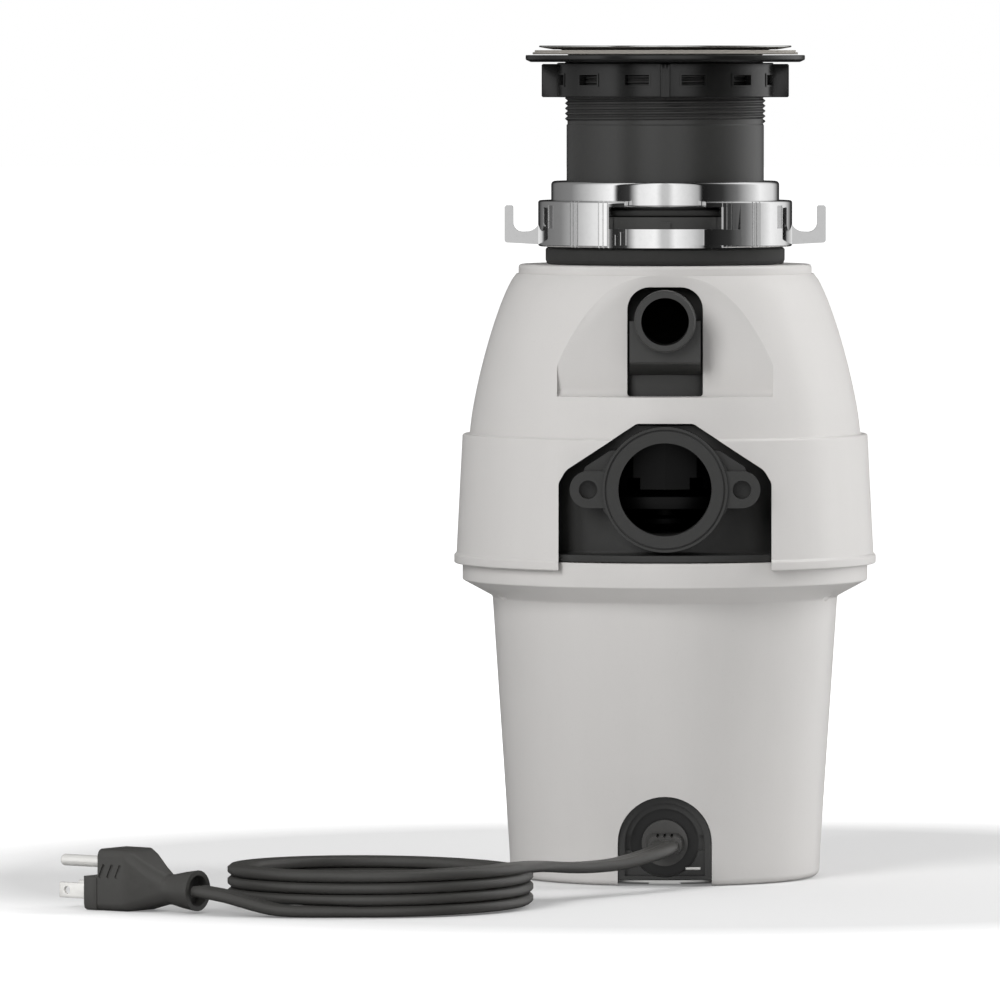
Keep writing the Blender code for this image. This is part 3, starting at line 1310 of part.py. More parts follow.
def make_sleeve():
    """Threaded sleeve between the sink flange and the hopper."""
    thread_z = SLEEVE_TOP_Z - THREAD_L
    outline = [
        (SLEEVE_BORE_R, SLEEVE_BOTTOM_Z), (SLEEVE_R, SLEEVE_BOTTOM_Z), (SLEEVE_R, thread_z),
        (THREAD_R, thread_z + (THREAD_R - SLEEVE_R)), (THREAD_R, SLEEVE_TOP_Z),
        (SLEEVE_BORE_R, SLEEVE_TOP_Z),
    ]
    turned("threaded_sleeve", outline, "black_plastic")


def make_mounting_nut(axis):
    """Castellated ring nut with windows in its wall and four wrench lugs."""
    z = NUT_RING_Z
    nut = ring(
        "mounting_nut", NUT_RING_R, NUT_RING_BORE_R, z, z + NUT_RING_H, "black_plastic"
    )
    lugs = spoke_blocks(
        "nut_lug_tool", NUT_LUGS, 0, (NUT_RING_R - CUT_OVER, -NUT_LUG_W / 2, z),
        (NUT_LUG_REACH, NUT_LUG_W / 2, z + NUT_LUG_H), "black_plastic",
    )
    windows = spoke_blocks(
        "nut_window_tool", NUT_WINDOWS, 180 / NUT_WINDOWS,
        (NUT_RING_BORE_R - 2 * CUT_OVER, -NUT_WINDOW_W / 2, z + NUT_WINDOW_Z),
        (NUT_RING_R + 2 * CUT_OVER, NUT_WINDOW_W / 2, z + NUT_WINDOW_Z + NUT_WINDOW_H),
        "black_plastic",
    )
    add(nut, lugs)
    cut(nut, windows)
    hang_on(axis, nut)


def make_clamp_rings(axis):
    """Support flange and fibre gasket that the nut drives up against the sink."""
    bore = THREAD_R + SUPPORT_BORE_GAP
    support = ring(
        "support_flange", SUPPORT_R, bore, SUPPORT_Z, SUPPORT_Z + SUPPORT_T, "black_plastic",
        SHELL_SIDES,
    )
    gasket = ring(
        "sink_gasket", SINK_GASKET_R, bore, SINK_GASKET_Z, SINK_GASKET_Z + SINK_GASKET_T,
        "grey_gasket", SHELL_SIDES,
    )
    hang_on(axis, support, gasket)


def make_sink_flange():
    """Polished sink flange: a dished rim and a neck with a lip for the splash guard."""
    neck_in = SINK_NECK_R - SINK_NECK_WALL
    bottom = SINK_NECK_BOTTOM_Z
    rim_z = SINK_RIM_Z
    bend_z = rim_z - SINK_BEND_H
    outline = [
        (neck_in - SINK_LIP_W, bottom), (SINK_NECK_R, bottom), (SINK_NECK_R, bend_z),
        (THREAD_R + SUPPORT_BORE_GAP, rim_z), (SINK_GASKET_R - SINK_FLAT_INSET, rim_z),
        (SINK_DISH_R, rim_z + SINK_DISH_H - 2 * SINK_RIM_T),
        (SINK_RIM_R, rim_z + SINK_DISH_H - SINK_RIM_T), (SINK_RIM_R, rim_z + SINK_DISH_H),
        (SINK_DISH_R, rim_z + SINK_DISH_H - SINK_RIM_T / 4),
        (THREAD_R, rim_z + SINK_NECK_WALL), (neck_in, bend_z),
        (neck_in, bottom + SINK_NECK_WALL), (neck_in - SINK_LIP_W, bottom + SINK_NECK_WALL),
    ]
    turned("sink_flange", outline, "polished_steel", SHELL_SIDES)


def make_splash_guard(axis):
    """Rubber splash guard in the throat: a cup with radial slits in its floor."""
    z = GUARD_Z
    inner = GUARD_R - GUARD_WALL
    outline = [
        (GUARD_HOLE_R, z), (GUARD_R, z), (GUARD_R, z + GUARD_H), (inner, z + GUARD_H),
        (inner, z + GUARD_WALL), (GUARD_HOLE_R, z + GUARD_WALL),
    ]
    guard = turned("splash_guard", outline, "dark_rubber")
    slits = spoke_blocks(
        "slit_tool", GUARD_SLITS, 0, (GUARD_HOLE_R - 2 * CUT_OVER, -GUARD_SLIT_W / 2, z - CUT_OVER),
        (inner - GUARD_SLIT_INSET, GUARD_SLIT_W / 2, z + GUARD_WALL + CUT_OVER), "dark_rubber",
    )
    cut(guard, slits)
    hang_on(axis, guard)


# ---- Cord and plug -------------------------------------------------------------------------

def make_cord():
    """The cord's two free stretches and the ring that its coil fills."""
    radius = CORD_THICKNESS / 2
    route = ((0, GLAND_FRONT_Y - GAP, GLAND_Z), *LEAD_ROUTE)
    tube("cord_lead", curve_points(route, CORD_STEP), radius, "cord_grey")
    outer = COIL_LINE_R + CORD_WIDTH / 2
    inner = COIL_LINE_R - CORD_WIDTH / 2
    corner = COIL_ROUND
    outline = [
        (inner + corner, 0), (outer - corner, 0), (outer, corner), (outer, COIL_H - corner),
        (outer - corner, COIL_H), (inner + corner, COIL_H), (inner, COIL_H - corner),
        (inner, corner),
    ]
    turned("cord_coil", outline, "cord_grey", RING_SIDES, (*COIL_CENTRE, 0))
    tube("cord_tail", curve_points(TAIL_ROUTE, CORD_STEP), radius, "cord_grey")


def make_plug():
    """Moulded grounded plug lying on its blades' side, with its three contacts."""
    middle = PLUG_HALF_H
    sections = [
        (0, PLUG_BARREL_R, PLUG_BARREL_R, PLUG_CORD_Z, PLUG_BARREL_R * PLUG_ROUNDNESS),
        (PLUG_NECK_X, PLUG_NECK_R, PLUG_NECK_R, PLUG_CORD_Z, PLUG_NECK_R * PLUG_ROUNDNESS),
        (PLUG_BLOCK_X, PLUG_HALF_W, PLUG_HALF_H, middle, PLUG_CORNER),
        (PLUG_L, PLUG_HALF_W, PLUG_HALF_H, middle, PLUG_CORNER),
    ]
    body = lofted("plug_body", sections, "cord_grey")
    start = PLUG_L + GAP
    contacts = []
    for letter, side in (("a", 1), ("b", -1)):
        y = side * BLADE_SPACING / 2
        z = middle - BLADE_DROP
        contacts.append(block(
            f"plug_blade_{letter}", (start, y - BLADE_T / 2, z - BLADE_H / 2),
            (start + BLADE_L, y + BLADE_T / 2, z + BLADE_H / 2), "nickel",
        ))
    outline = [
        (0, 0), (GROUND_PIN_R, 0), (GROUND_PIN_R, GROUND_PIN_L - GROUND_PIN_R),
        (GROUND_PIN_R * GROUND_PIN_TIP, GROUND_PIN_L), (0, GROUND_PIN_L),
    ]
    pin = turned("plug_ground_pin", outline, "nickel", SCREW_SIDES)
    pin.rotation_euler = (0, math.pi / 2, 0)
    pin.location = (start, 0, middle + GROUND_PIN_RISE)
    place = axis_empty("plug_place", (0, 0, 0))
    for piece in (body, pin, *contacts):
        piece.parent = place
    place.location = (*PLUG_PLACE, 0)
    place.rotation_euler = (0, 0, PLUG_TURN)


# ---- The whole object -------------------------------------------------------------------------

def clear_scene():
    """Start from an empty scene."""
    for obj in list(bpy.data.objects):
        bpy.data.objects.remove(obj, do_unlink=True)


def main():
    clear_scene()
    make_lower_housing()
    make_base_plate()
    make_reset_switch()
    make_cord_entry()
    make_motor_frame()
    make_magnets()
    make_brushes()
    rotor_axis = axis_empty("rotor_axis", (0, 0, CORE_Z))
    make_rotor(rotor_axis)
    make_impeller("a", 1, rotor_axis)
    make_impeller("b", -1, rotor_axis)
    make_grind_ring()
    make_drain_chamber()
    make_seals()
    make_hopper()
    make_upper_cover()
    make_collar()
    make_upper_ring()
    make_lock_ring(axis_empty("lock_ring_axis", (0, 0, LOCK_RING_Z)))
    make_sleeve()
    make_mounting_nut(axis_empty("mounting_nut_axis", (0, 0, NUT_RING_Z)))
    make_clamp_rings(axis_empty("support_axis", (0, 0, SUPPORT_Z)))
    make_sink_flange()
    make_splash_guard(axis_empty("splash_guard_axis", (0, 0, GUARD_Z)))
    make_cord()
    make_plug()


main()
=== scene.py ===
"""Kitchen garbage disposal: fine pieces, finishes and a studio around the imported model."""

import json
import math

import bmesh
import bpy
from bpy.props import FloatProperty, FloatVectorProperty, IntProperty, PointerProperty
from mathutils import Matrix, Vector


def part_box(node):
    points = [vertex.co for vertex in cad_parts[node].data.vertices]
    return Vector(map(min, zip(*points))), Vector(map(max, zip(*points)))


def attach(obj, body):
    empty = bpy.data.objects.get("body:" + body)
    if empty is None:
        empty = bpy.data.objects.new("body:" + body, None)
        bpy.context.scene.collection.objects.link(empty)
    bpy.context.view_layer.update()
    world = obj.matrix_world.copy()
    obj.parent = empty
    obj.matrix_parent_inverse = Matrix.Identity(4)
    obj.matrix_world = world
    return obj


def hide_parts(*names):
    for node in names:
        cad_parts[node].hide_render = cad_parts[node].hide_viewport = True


bl_info = {
    "name": "Garbage disposal pieces",
    "version": (1, 0, 0),
    "blender": (4, 5, 0),
    "location": "View3D > Sidebar > Disposal",
    "description": "Fine pieces, finishes and a studio for a kitchen garbage disposal",
    "category": "Object",
}

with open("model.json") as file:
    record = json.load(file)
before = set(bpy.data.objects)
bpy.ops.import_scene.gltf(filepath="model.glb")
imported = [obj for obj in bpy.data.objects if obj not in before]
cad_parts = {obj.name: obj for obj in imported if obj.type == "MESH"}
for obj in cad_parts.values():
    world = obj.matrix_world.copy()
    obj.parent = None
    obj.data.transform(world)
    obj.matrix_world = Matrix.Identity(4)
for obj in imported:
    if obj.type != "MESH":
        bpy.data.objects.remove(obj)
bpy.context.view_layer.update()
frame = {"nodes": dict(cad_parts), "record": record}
SLOT_OF = {part["node"]: part["material_slot"] for part in frame["record"]["subparts"]}


def low(node):
    """Lowest corner of a node's box."""
    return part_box(node)[0]


def high(node):
    """Highest corner of a node's box."""
    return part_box(node)[1]


def sizes():
    """The sizes that a user can change."""
    return bpy.context.scene.disposal_sizes


# ---- Fineness ---------------------------------------------------------------------
ROUND_SIDES = 160
SMALL_SIDES = 48
SCREW_SIDES = 24
CORNER_STEPS = 5
WELD = 0.000001
GAP = 0.0003
CUT_OVER = 0.0010
CUT_FAR = 0.0300
SMOOTH_ANGLE = math.radians(32)

# ---- Heights and radii read from the frame --------------------------------------------
HOUSING_TOP = high("lower_housing").z
HOUSING_R = high("lower_housing").x
COVER_LOW = low("upper_cover").z
COVER_TOP = high("upper_cover").z
COVER_LIP_R = high("upper_cover").x
OUTLET_FACE = low("drain_chamber").y
CHAMBER_LOW = low("drain_chamber").z
CHAMBER_TOP = high("drain_chamber").z
INLET_FACE = low("inlet_nozzle").y
HOPPER_LOW = low("hopper").z
NECK_TOP = high("hopper_neck").z
LOCK_LOW = low("lock_ring").z
LOCK_TOP = high("lock_ring").z
LOCK_R = high("lock_ring").y
HOOK_REACH = high("lock_ring").x
RING_TOP = high("upper_ring").z
RING_R = high("upper_ring").x
SLEEVE_LOW = low("threaded_sleeve").z
SLEEVE_TOP = high("threaded_sleeve").z
NUT_LOW = low("mounting_nut").z
NUT_TOP = high("mounting_nut").z
NUT_REACH = high("mounting_nut").x
SUPPORT_LOW = low("support_flange").z
SUPPORT_TOP = high("support_flange").z
GASKET_LOW = low("sink_gasket").z
GASKET_TOP = high("sink_gasket").z
RIM_LOW = GASKET_TOP + GAP
RIM_TOP = high("sink_flange").z
RIM_R = high("sink_flange").x
THROAT_LOW = low("sink_flange").z
GUARD_LOW = low("splash_guard").z
GUARD_TOP = high("splash_guard").z
GUARD_R = high("splash_guard").x
ENTRY_FRONT = low("cord_entry_plate").y
ENTRY_BACK = high("cord_entry_plate").y
GLAND_FRONT = low("cord_gland").y
GLAND_BACK = high("cord_gland").y
GLAND_Z = (low("cord_gland").z + high("cord_gland").z) / 2
GLAND_R = (high("cord_gland").x - low("cord_gland").x) / 2
TABLE_TOP = high("turntable").z
TABLE_LOW = low("turntable").z
TABLE_R = high("turntable").x
PLATE_R = high("base_plate").x
PLATE_LOW = low("base_plate").z
PLATE_TOP = high("base_plate").z

# ---- Lower housing ----------------------------------------------------------------
HOUSING_RIM_H = 0.0105
HOUSING_SLANT_H = 0.0070
WAIST_R = 0.0742
FOOT_R = 0.0664
FOOT_ROUND = 0.0055
FOOT_BORE_R = 0.0589
FOOT_LIP_H = 0.0026
SHELL_WALL = 0.0025
SCALLOP_ANGLE = math.radians(68)
SCALLOP_SIZE = (0.0016, 0.0042, 0.0018)
SCALLOP_OUT = 0.0010
SCREW_HOLE_R = 0.0023
BUTTON_GAP = 0.0006
KEYWAY_HALF_W = 0.0068
KEYWAY_DEPTH = 0.0030
KEYWAY_H = 0.0014
PLATE_CUT_H = 0.0200
ARCH_R = 0.0200
ARCH_Z = 0.0185
ARCH_BACK = -0.0510
ENTRY_WALL = 0.0030
ENTRY_RECESS = 0.0025
SEAT_R = 0.0146
SEAT_DEPTH = 0.0030
NOTCH_OUT = 0.0002
NOTCH_HALF_W = 0.0016
NOTCH_HALF_H = 0.0032
NOTCH_STEP = 0.0008
SHANK_R = 0.0070
SHANK_HOLE_R = 0.0073
GLAND_DISC_H = 0.0040
NOSE_WALL = 0.0012
NOSE_SINK = 0.0010
NOSE_FLARE_W = 1.16
NOSE_FLARE_H = 1.28
FLUTES = 3
FLUTE_SPACING = 0.0030
FLUTE_R = 0.0007
FLUTE_END_R = 0.0005
FLUTE_OUT = 0.0002
FLUTE_SHORT = 0.0006
FLUTE_SIDES = 16
NOSE_SLOTS = 4
NOSE_SLOT_FIRST = 0.0022
NOSE_SLOT_SPACING = 0.0024
NOSE_SLOT_DEPTH = 0.0009
NOSE_SLOT_HALF_W = 0.0004
NOSE_SLOT_HALF_H = 0.0022
TAB_LEFT = 0.0088
TAB_RIGHT = 0.0152
TAB_Z = 0.0068
TAB_H = 0.0012
TAB_BURIED = 0.0004
TAB_PROUD = 0.0006

# ---- Upper cover ------------------------------------------------------------------
COVER_WALL = 0.0021
LIP_W = 0.0010
LIP_H = 0.0035
SKIRT_TOP_R = 0.0871
SKIRT_H = 0.0555
SHOULDER_R = 0.0841
SHOULDER_POWER = 1.3
SHOULDER_STEPS = 26
RIM_ROOT_R = 0.0639
COVER_RIM_R = 0.0630
COVER_RIM_H = 0.0040
PAD_Y = -0.0635
PAD_HALF_W = 0.0458
PAD_LOW = 0.2084
PAD_FILLET = 0.0036
SLOT_HALF_W = 0.01605
SLOT_TOP = 0.2547
SLOT_ROUND = 0.0095
SLOT_FOOT_ROUND = 0.0013
OPENING_HALF_W = 0.0451
OPENING_TOP = 0.1974
OPENING_TOP_HALF_W = 0.0120
OPENING_CORNER = (0.0420, 0.1775)
OPENING_SIDE_Z = 0.1720
OPENING_ROUND = 0.0080
OPENING_EDGE_ROUND = 0.0040
OPENING_BACK = -0.0551
COVER_NECK_GAP = 0.0006
COVER_NECK_CUT_H = 0.0400

# ---- Chamber, hopper and their necks ---------------------------------------------------
CHAMBER_R = 0.0781
CHAMBER_WALL = 0.0030
CHAMBER_FLOOR = 0.1465
OUTLET_Z = 0.1696
OUTLET_BORE_R = 0.0197
OUTLET_FLANGE_R = 0.0265
OUTLET_GROOVE_R = 0.0252
EAR_X = 0.0325
EAR_R = 0.0078
EAR_HOLE_R = 0.0039
EAR_BACK = 0.0015
EAR_T = 0.0070
HUB_SEAT_R = 0.0153
HUB_R = 0.0188
SHAFT_HOLE_R = 0.0080
OUTLET_BORE_BACK = -0.0606
SADDLE = ((0.0330, -0.0060, 0.003), (0.0345, 0.0090, 0.003), (0.0230, 0.0165, 0.004))
SADDLE_BACK = 0.0050
EAR_FILLET = ((0.0262, -0.0115, 0.004), (0.0262, 0.0115, 0.004))
EAR_FILLET_BACK = 0.0006
EAR_HOLE_FLOOR = 0.0008
HOPPER_BODY_R = 0.0601
HOPPER_FLANGE_T = 0.0040
HOPPER_SHOULDER_Z = 0.2233
HOPPER_DOME_Z = 0.2563
HOPPER_WALL = 0.0030
NECK_R = 0.0480
NECK_BORE_R = 0.0445
NECK_LIP_R = 0.0492
NECK_LIP_H = 0.0080
INLET_Z = 0.2404
INLET_R = 0.0131
INLET_BORE_R = 0.0101
INLET_LIP_L = 0.0010
INLET_LIP_OVERLAP = 0.0001
INLET_LIP_ROUND = 0.0008
RIB_HALF_W = 0.01505
RIB_BACK = 0.0060
RIB_LOW = 0.2224
RIB_FOOT = 0.2173
RIB_CHAMFER_W = 0.0006
RIB_CHAMFER_H = 0.0008
NECK_TAB_HALF_W = 0.0022
NECK_TAB_OUT = 0.0012
NECK_TAB_LOW = 0.0006
NECK_TAB_HIGH = 0.0022
SCREW_BORE_R = 0.0021
SCREW_BORE_H = 0.0084
SCREW_BORE_Z = 0.0010
COLLAR_R = 0.0514
COLLAR_BORE_R = NECK_R + 0.0006
COLLAR_STEP = 0.0006
COLLAR_STEP_H = 0.0016
COLLAR_TOP_STEP = 0.0009
COLLAR_TOP_STEP_H = 0.0008

# ---- Turntable -----------------------------------------------------------------------
TABLE_T = 0.0030
TABLE_BORE_R = 0.0053
TABLE_FOOT_R = 0.0210
TABLE_HUB_R = 0.0120
TABLE_RIM_W = 0.0025
TABLE_HOLES = 8
TABLE_HOLE_R = 0.0022
TABLE_HOLE_PLACE_R = 0.0240
TABLE_HOLE_CUT_H = 0.0200

# ---- Sink mount ---------------------------------------------------------------------
LOCK_BORE_R = 0.0496
LOCK_FOOT_BORE_R = 0.04845
LOCK_LIP_H = 0.0026
LOCK_GROOVE_R = 0.0518
LOCK_GROOVE_TOP = LOCK_TOP - 0.0020
LOCK_GROOVE_H = 0.0036
WINDOW_ANGLE = math.radians(26.5)
WINDOW_TOP_ANGLE = math.radians(18.5)
RAMP_H = 0.0081
RAMP_END_ANGLE = math.radians(36)
RAMP_START_ANGLE = math.radians(23.5)
RAMP_OVERLAP_ANGLE = math.radians(9)
RAMP_LOW = 0.0012
RAMP_SINK = 0.0012
RAMP_STEPS = 3
RAMP_STEP_DROP = 0.0012
RAMP_STEP_ANGLE = 0.045
RAMP_STEP_SPAN = 0.018
TAB_LOW = 0.0175
RIB_ANGLE = math.radians(45.4)
LOCK_RIB_W = 0.0009
LOCK_RIB_SPACING = 0.0022
LOCK_RIB_SINK = 0.0008
LOCK_RIB_PROUD = 0.0005
LOCK_RIB_MARGIN = 0.0006
LOCK_FLUTE_W = 0.0006
LOCK_FLUTE_DEPTH = 0.0009
LOCK_GROOVE_ANGLE = math.radians(2.5)
HOOK_ARM_W = 0.0037
HOOK_T = 0.0062
HOOK_FLOOR = 0.0062
HOOK_TOP = 0.0175
HOOK_BASE = 0.0016
HOOK_CURVE = 0.0040
HOOK_ROUND = 0.0012
HOOK_CHAMFER = 0.0006
HOOK_FLARE = 0.0020
HOOK_ROOT_H = 0.0090
POCKET_ANGLE = math.radians(26)
POCKET_SPAN = 0.09
POCKET_DEPTH = 0.0022
POCKET_LOW = 0.0080
POCKET_TOP = 0.0178
UPPER_RING_LOW = 0.0172
LUG_COUNT = 3
LUG_HALF_W = 0.0060
LUG_T = 0.0030
LUG_SHORT = 0.0016
SLEEVE_R = 0.0424
SLEEVE_BORE_R = 0.0400
THREAD_R = 0.0431
THREAD_ROOT_R = 0.0420
THREAD_LENGTH = 0.0276
NUT_R = 0.0465
NUT_BORE_R = 0.0437
NUT_LUG_W = 0.0043
NUT_LUG_H = 0.0143
NUT_LUGS = 4
NUT_FIN_SPACING = 0.0015
NUT_FIN_HALF_W = 0.00022
NUT_FIN_PROUD = 0.0002
NUT_FIN_MARGIN = 0.0004
NUT_WINDOWS = 12
NUT_WINDOW_W = 0.0105
NUT_WINDOW_H = 0.0044
NUT_WINDOW_Z = 0.0052
NUT_FRAME_PROUD = 0.00035
NUT_FRAME_W = 0.0007
NUT_FRAME_ANGLE = 0.016
SUPPORT_R = high("support_flange").x
GASKET_R = high("sink_gasket").x
CLAMP_BORE_R = 0.0445
SINK_NECK_R = 0.0397
SINK_WALL = 0.0010
GUARD_WALL = 0.0018
GUARD_HOLE_R = 0.0120
GUARD_SLITS = 8
GUARD_SLIT_HALF_W = 0.0005
GUARD_SLIT_IN = 0.0020
GUARD_SLIT_OUT = 0.0040
GUARD_RIBS = 3
GUARD_RIB_LOW = 0.0080
GUARD_RIB_SPACING = 0.0040
GUARD_RIB_HALF_W = 0.0005
GUARD_RIB_SINK = 0.0004
GUARD_RIB_PROUD = 0.0003

# ---- Cord and plug --------------------------------------------------------------------
CORD_W = 0.0114
CORD_T = 0.0046
CORD_RIDGES = 3
CORD_RIDGE_H = 0.00032
CORD_RIDGE_SINK = 0.0003
CORD_END_POINTS = 4
LEAD_ROUTE = (
    (-0.0006, -0.0860, 0.0178),
    (-0.0070, -0.0990, 0.0158),
    (-0.0200, -0.1150, 0.0134),
    (-0.0360, -0.1330, 0.0132),
    (-0.0530, -0.1562, 0.0154),
)
TAIL_ROUTE = (
    (-0.1525, -0.2317, 0.0026),
    (-0.1640, -0.2292, 0.0040),
    (-0.1790, -0.2228, 0.0078),
    (-0.1916, -0.2143, 0.0095),
)
COIL_CENTRE = (-0.118, -0.173)
COIL_R = 0.0580
COIL_START = math.radians(-22)
COIL_END = math.radians(-1180)
COIL_TOP_Z = 0.0173
COIL_LOW_Z = 0.0024
COIL_STEP = math.radians(7.5)
PLUG_PLACE = (-0.1920, -0.2140)
PLUG_TURN = math.radians(145)
PLUG_CORD_Z = 0.0095
PLUG_L = 0.0505
PLUG_SETBACK_X = 0.0435
PLUG_H = 0.0256
PLUG_BARREL_R = 0.00845
PLUG_BARREL_STEP = 0.0009
PLUG_NECK_R = 0.0063
PLUG_HOLLOW_R = 0.0066
PLUG_HOLLOW_END_R = 0.0056
PLUG_HOLLOW_L = 0.0035
PLUG_SHOULDER_HALF_W = 0.0121
PLUG_SHOULDER_LOW = 0.0003
PLUG_SHOULDER_TOP = 0.0142
SLIT_CORNER = Vector((0.0007, 0.0010, 0.0030))
SLIT_TILT = math.radians(-24)
SLIT_PLACE = (0.0330, 0.0116, 0.0165)
SLIT_SPACING = 0.0042
SLITS = 3
BLADE_Y = 0.00635
BLADE_HALF_T = 0.00075
BLADE_HALF_H = 0.0032
BLADE_HOLE_R = 0.0016
BLADE_HOLE_BACK = 0.0042
PIN_R = 0.0024
PIN_BURIED = 0.0020
BLADE_Z = 0.0075
PIN_Z = 0.0194
CONTACT_END = 0.0671
PIN_END = 0.0708

# ---- Looks ----------------------------------------------------------------------------
PAINTED_HOLLOW_SHADE = 0.22            # painted shade: how dark a round hollow's wall is painted beside the plastic around it
PAINTED_HOLLOW_EDGE = 2000.0           # how sharply that painted shade ends
PAINTED_SHADE_FINISH_OF = dict.fromkeys(       # pieces inside the dark chamber, given a near-black steel finish as painted shade
    ("grind_ring", "turntable_nut", "shaft", "impeller_a", "impeller_b"), "grinding_steel_painted_shade"
)

# ---- Studio ---------------------------------------------------------------------------
CAMERA_PLACE = (0.0, -4.65, 0.352)
CAMERA_AIM = (-0.071, 0.0, 0.16175)
CAMERA_LENS = 389.3
CAMERA_SENSOR = 36
CAMERA_FAR = 100
FLOOR_SIZE = 30
FLOOR_COLOUR = (0.70, 0.70, 0.70)
FLOOR_GLOW = 0.14
FLOOR_FAR_GLOW = 1.0
FLOOR_NEAR_R = 0.28
FLOOR_FAR_R = 0.48
ROOM_STRENGTH = 0.22
PANEL_STRENGTH = 1.0
LIGHT_AIM = (0.0, 0.0, 0.18)
LIGHTS = (                     # name, place, width, height, power
    ("key", (-1.35, -2.3, 1.5), 1.1, 1.6, 51.0),
    ("fill", (1.9, -1.9, 1.0), 1.6, 1.6, 1.0),
    ("top", (0.0, 0.3, 2.4), 2.4, 2.4, 17.0),
    ("left_strip", (-1.7, 0.2, 0.8), 0.5, 1.6, 0.4),
    ("right_strip", (1.7, 0.4, 0.8), 0.5, 1.6, 27.0),
)
ROOM_BANDS = (                 # bearing in degrees from the front, brightness
    (-180, 0.02), (-164, 0.02), (-150, 0.18), (-110, 0.26), (-83, 0.65), (-54, 1.20), (-50, 0.02),
    (-36, 0.05), (-27, 0.95), (-9, 1.15), (-3, 0.66), (3, 0.66), (9, 1.10), (25, 0.75), (34, 0.45),
    (37, 0.01), (60, 0.04), (78, 0.20), (100, 0.75), (112, 1.10), (140, 0.80), (160, 0.04),
)
ROOM_FLOOR_LOW = -0.40         # a direction's upward part where the room is at its darkest
ROOM_FLOOR_HIGH = -0.16
ROOM_BELOW = 0.25


# ---- Outlines -------------------------------------------------------------------------

def rounded(points, closed=True, steps=CORNER_STEPS):
    """Outline with its corners rounded: a point's third number is the corner's radius."""
    result = []
    count = len(points)
    for i, point in enumerate(points):
        corner = Vector(point[:2])
        radius = point[2] if len(point) > 2 else 0.0
        if radius == 0.0 or (not closed and i in (0, count - 1)):
            result.append(tuple(corner))
            continue
        before = Vector(points[i - 1][:2]) - corner
        after = Vector(points[(i + 1) % count][:2]) - corner
        half = before.angle(after) / 2
        room = min(before.length, after.length) * 0.499
        reach = min(radius / math.tan(half), room)
        start = before.normalized() * reach
        end = after.normalized() * reach
        centre = (start + end).normalized() * reach / math.cos(half)
        arm, stop = start - centre, end - centre
        turn = math.atan2(arm.x * stop.y - arm.y * stop.x, arm.dot(stop))
        for k in range(steps + 1):
            spoke = Matrix.Rotation(turn * k / steps, 2) @ arm
            result.append(tuple(corner + centre + spoke))
    return result


def half_turn(centre, radius, start, end, steps=24):
    """Points on an arc between two angles in degrees."""
    points = []
    for i in range(steps + 1):
        angle = math.radians(start + (end - start) * i / steps)
        points.append((centre[0] + radius * math.cos(angle), centre[1] + radius * math.sin(angle)))
    return points


def mirrored(points):
    """A closed outline from its right half, listed from the bottom up."""
    left = [(-x, *rest) for x, *rest in reversed(points)]
    return left[-1:] + list(points) + left[:-1]


# ---- Mesh tools -----------------------------------------------------------------------

def lathe(outline, sides=ROUND_SIDES, closed=True, start=0.0, span=math.tau):
    """A turned shape about Z. Outline points are (radius, height)."""
    bm = bmesh.new()
    verts = [bm.verts.new((r, 0, z)) for r, z in outline]
    ends = verts[1:] + verts[:1] if closed else verts[1:]
    edges = [bm.edges.new(pair) for pair in zip(verts, ends)]
    bmesh.ops.rotate(bm, verts=verts, cent=(0, 0, 0), matrix=Matrix.Rotation(start, 3, "Z"))
    full = abs(span - math.tau) < WELD
    bmesh.ops.spin(
        bm, geom=verts + edges, cent=(0, 0, 0), axis=(0, 0, 1), angle=span, steps=sides,
        use_merge=full,
    )
    bmesh.ops.remove_doubles(bm, verts=bm.verts, dist=WELD)
    if not full:
        bmesh.ops.holes_fill(bm, edges=bm.edges, sides=0)
    bmesh.ops.recalc_face_normals(bm, faces=bm.faces)
    return bm


def prism(outline, near, far, axis="Y"):
    """A flat outline stretched between two places on an axis.

    Along Y the outline is (x, z), along X it is (y, z) and along Z it is (x, y)."""
    place = {
        "X": lambda u, v: (near, u, v), "Y": lambda u, v: (u, near, v),
        "Z": lambda u, v: (u, v, near),
    }[axis]
    bm = bmesh.new()
    face = bm.faces.new([bm.verts.new(place(u, v)) for u, v in outline])
    made = bmesh.ops.extrude_face_region(bm, geom=[face])
    moved = [item for item in made["geom"] if isinstance(item, bmesh.types.BMVert)]
    step = {"X": (far - near, 0, 0), "Y": (0, far - near, 0), "Z": (0, 0, far - near)}[axis]
    bmesh.ops.translate(bm, verts=moved, vec=step)
    bmesh.ops.remove_doubles(bm, verts=bm.verts, dist=WELD)
    bmesh.ops.recalc_face_normals(bm, faces=bm.faces)
    return bm


def box(low_corner, high_corner, soften=0.0):
    """A block between two corners, with its edges softened."""
    bm = bmesh.new()
    bmesh.ops.create_cube(bm, size=1)
    size = Vector(high_corner) - Vector(low_corner)
    middle = (Vector(high_corner) + Vector(low_corner)) / 2
    bmesh.ops.scale(bm, verts=bm.verts, vec=size)
    moved(bm, middle)
    if soften:
        bmesh.ops.bevel(
            bm, geom=bm.edges, offset=soften, segments=2, profile=0.5, affect="EDGES",
            material=-1,
        )
    return bm


def rod(radius, near, far, x, z, sides=SMALL_SIDES, end_radius=None):
    """A round bar along Y. Its far end may have a radius of its own."""
    bm = bmesh.new()
    end = radius if end_radius is None else end_radius
    bmesh.ops.create_cone(
        bm, cap_ends=True, segments=sides, radius1=end, radius2=radius, depth=far - near
    )
    turned(bm, math.pi / 2, "X")
    return moved(bm, (x, (near + far) / 2, z))


def post(radius, x, y, middle, height, sides=SMALL_SIDES):
    """A round bar along Z."""
    bm = bmesh.new()
    bmesh.ops.create_cone(
        bm, cap_ends=True, segments=sides, radius1=radius, radius2=radius, depth=height
    )
    return moved(bm, (x, y, middle))


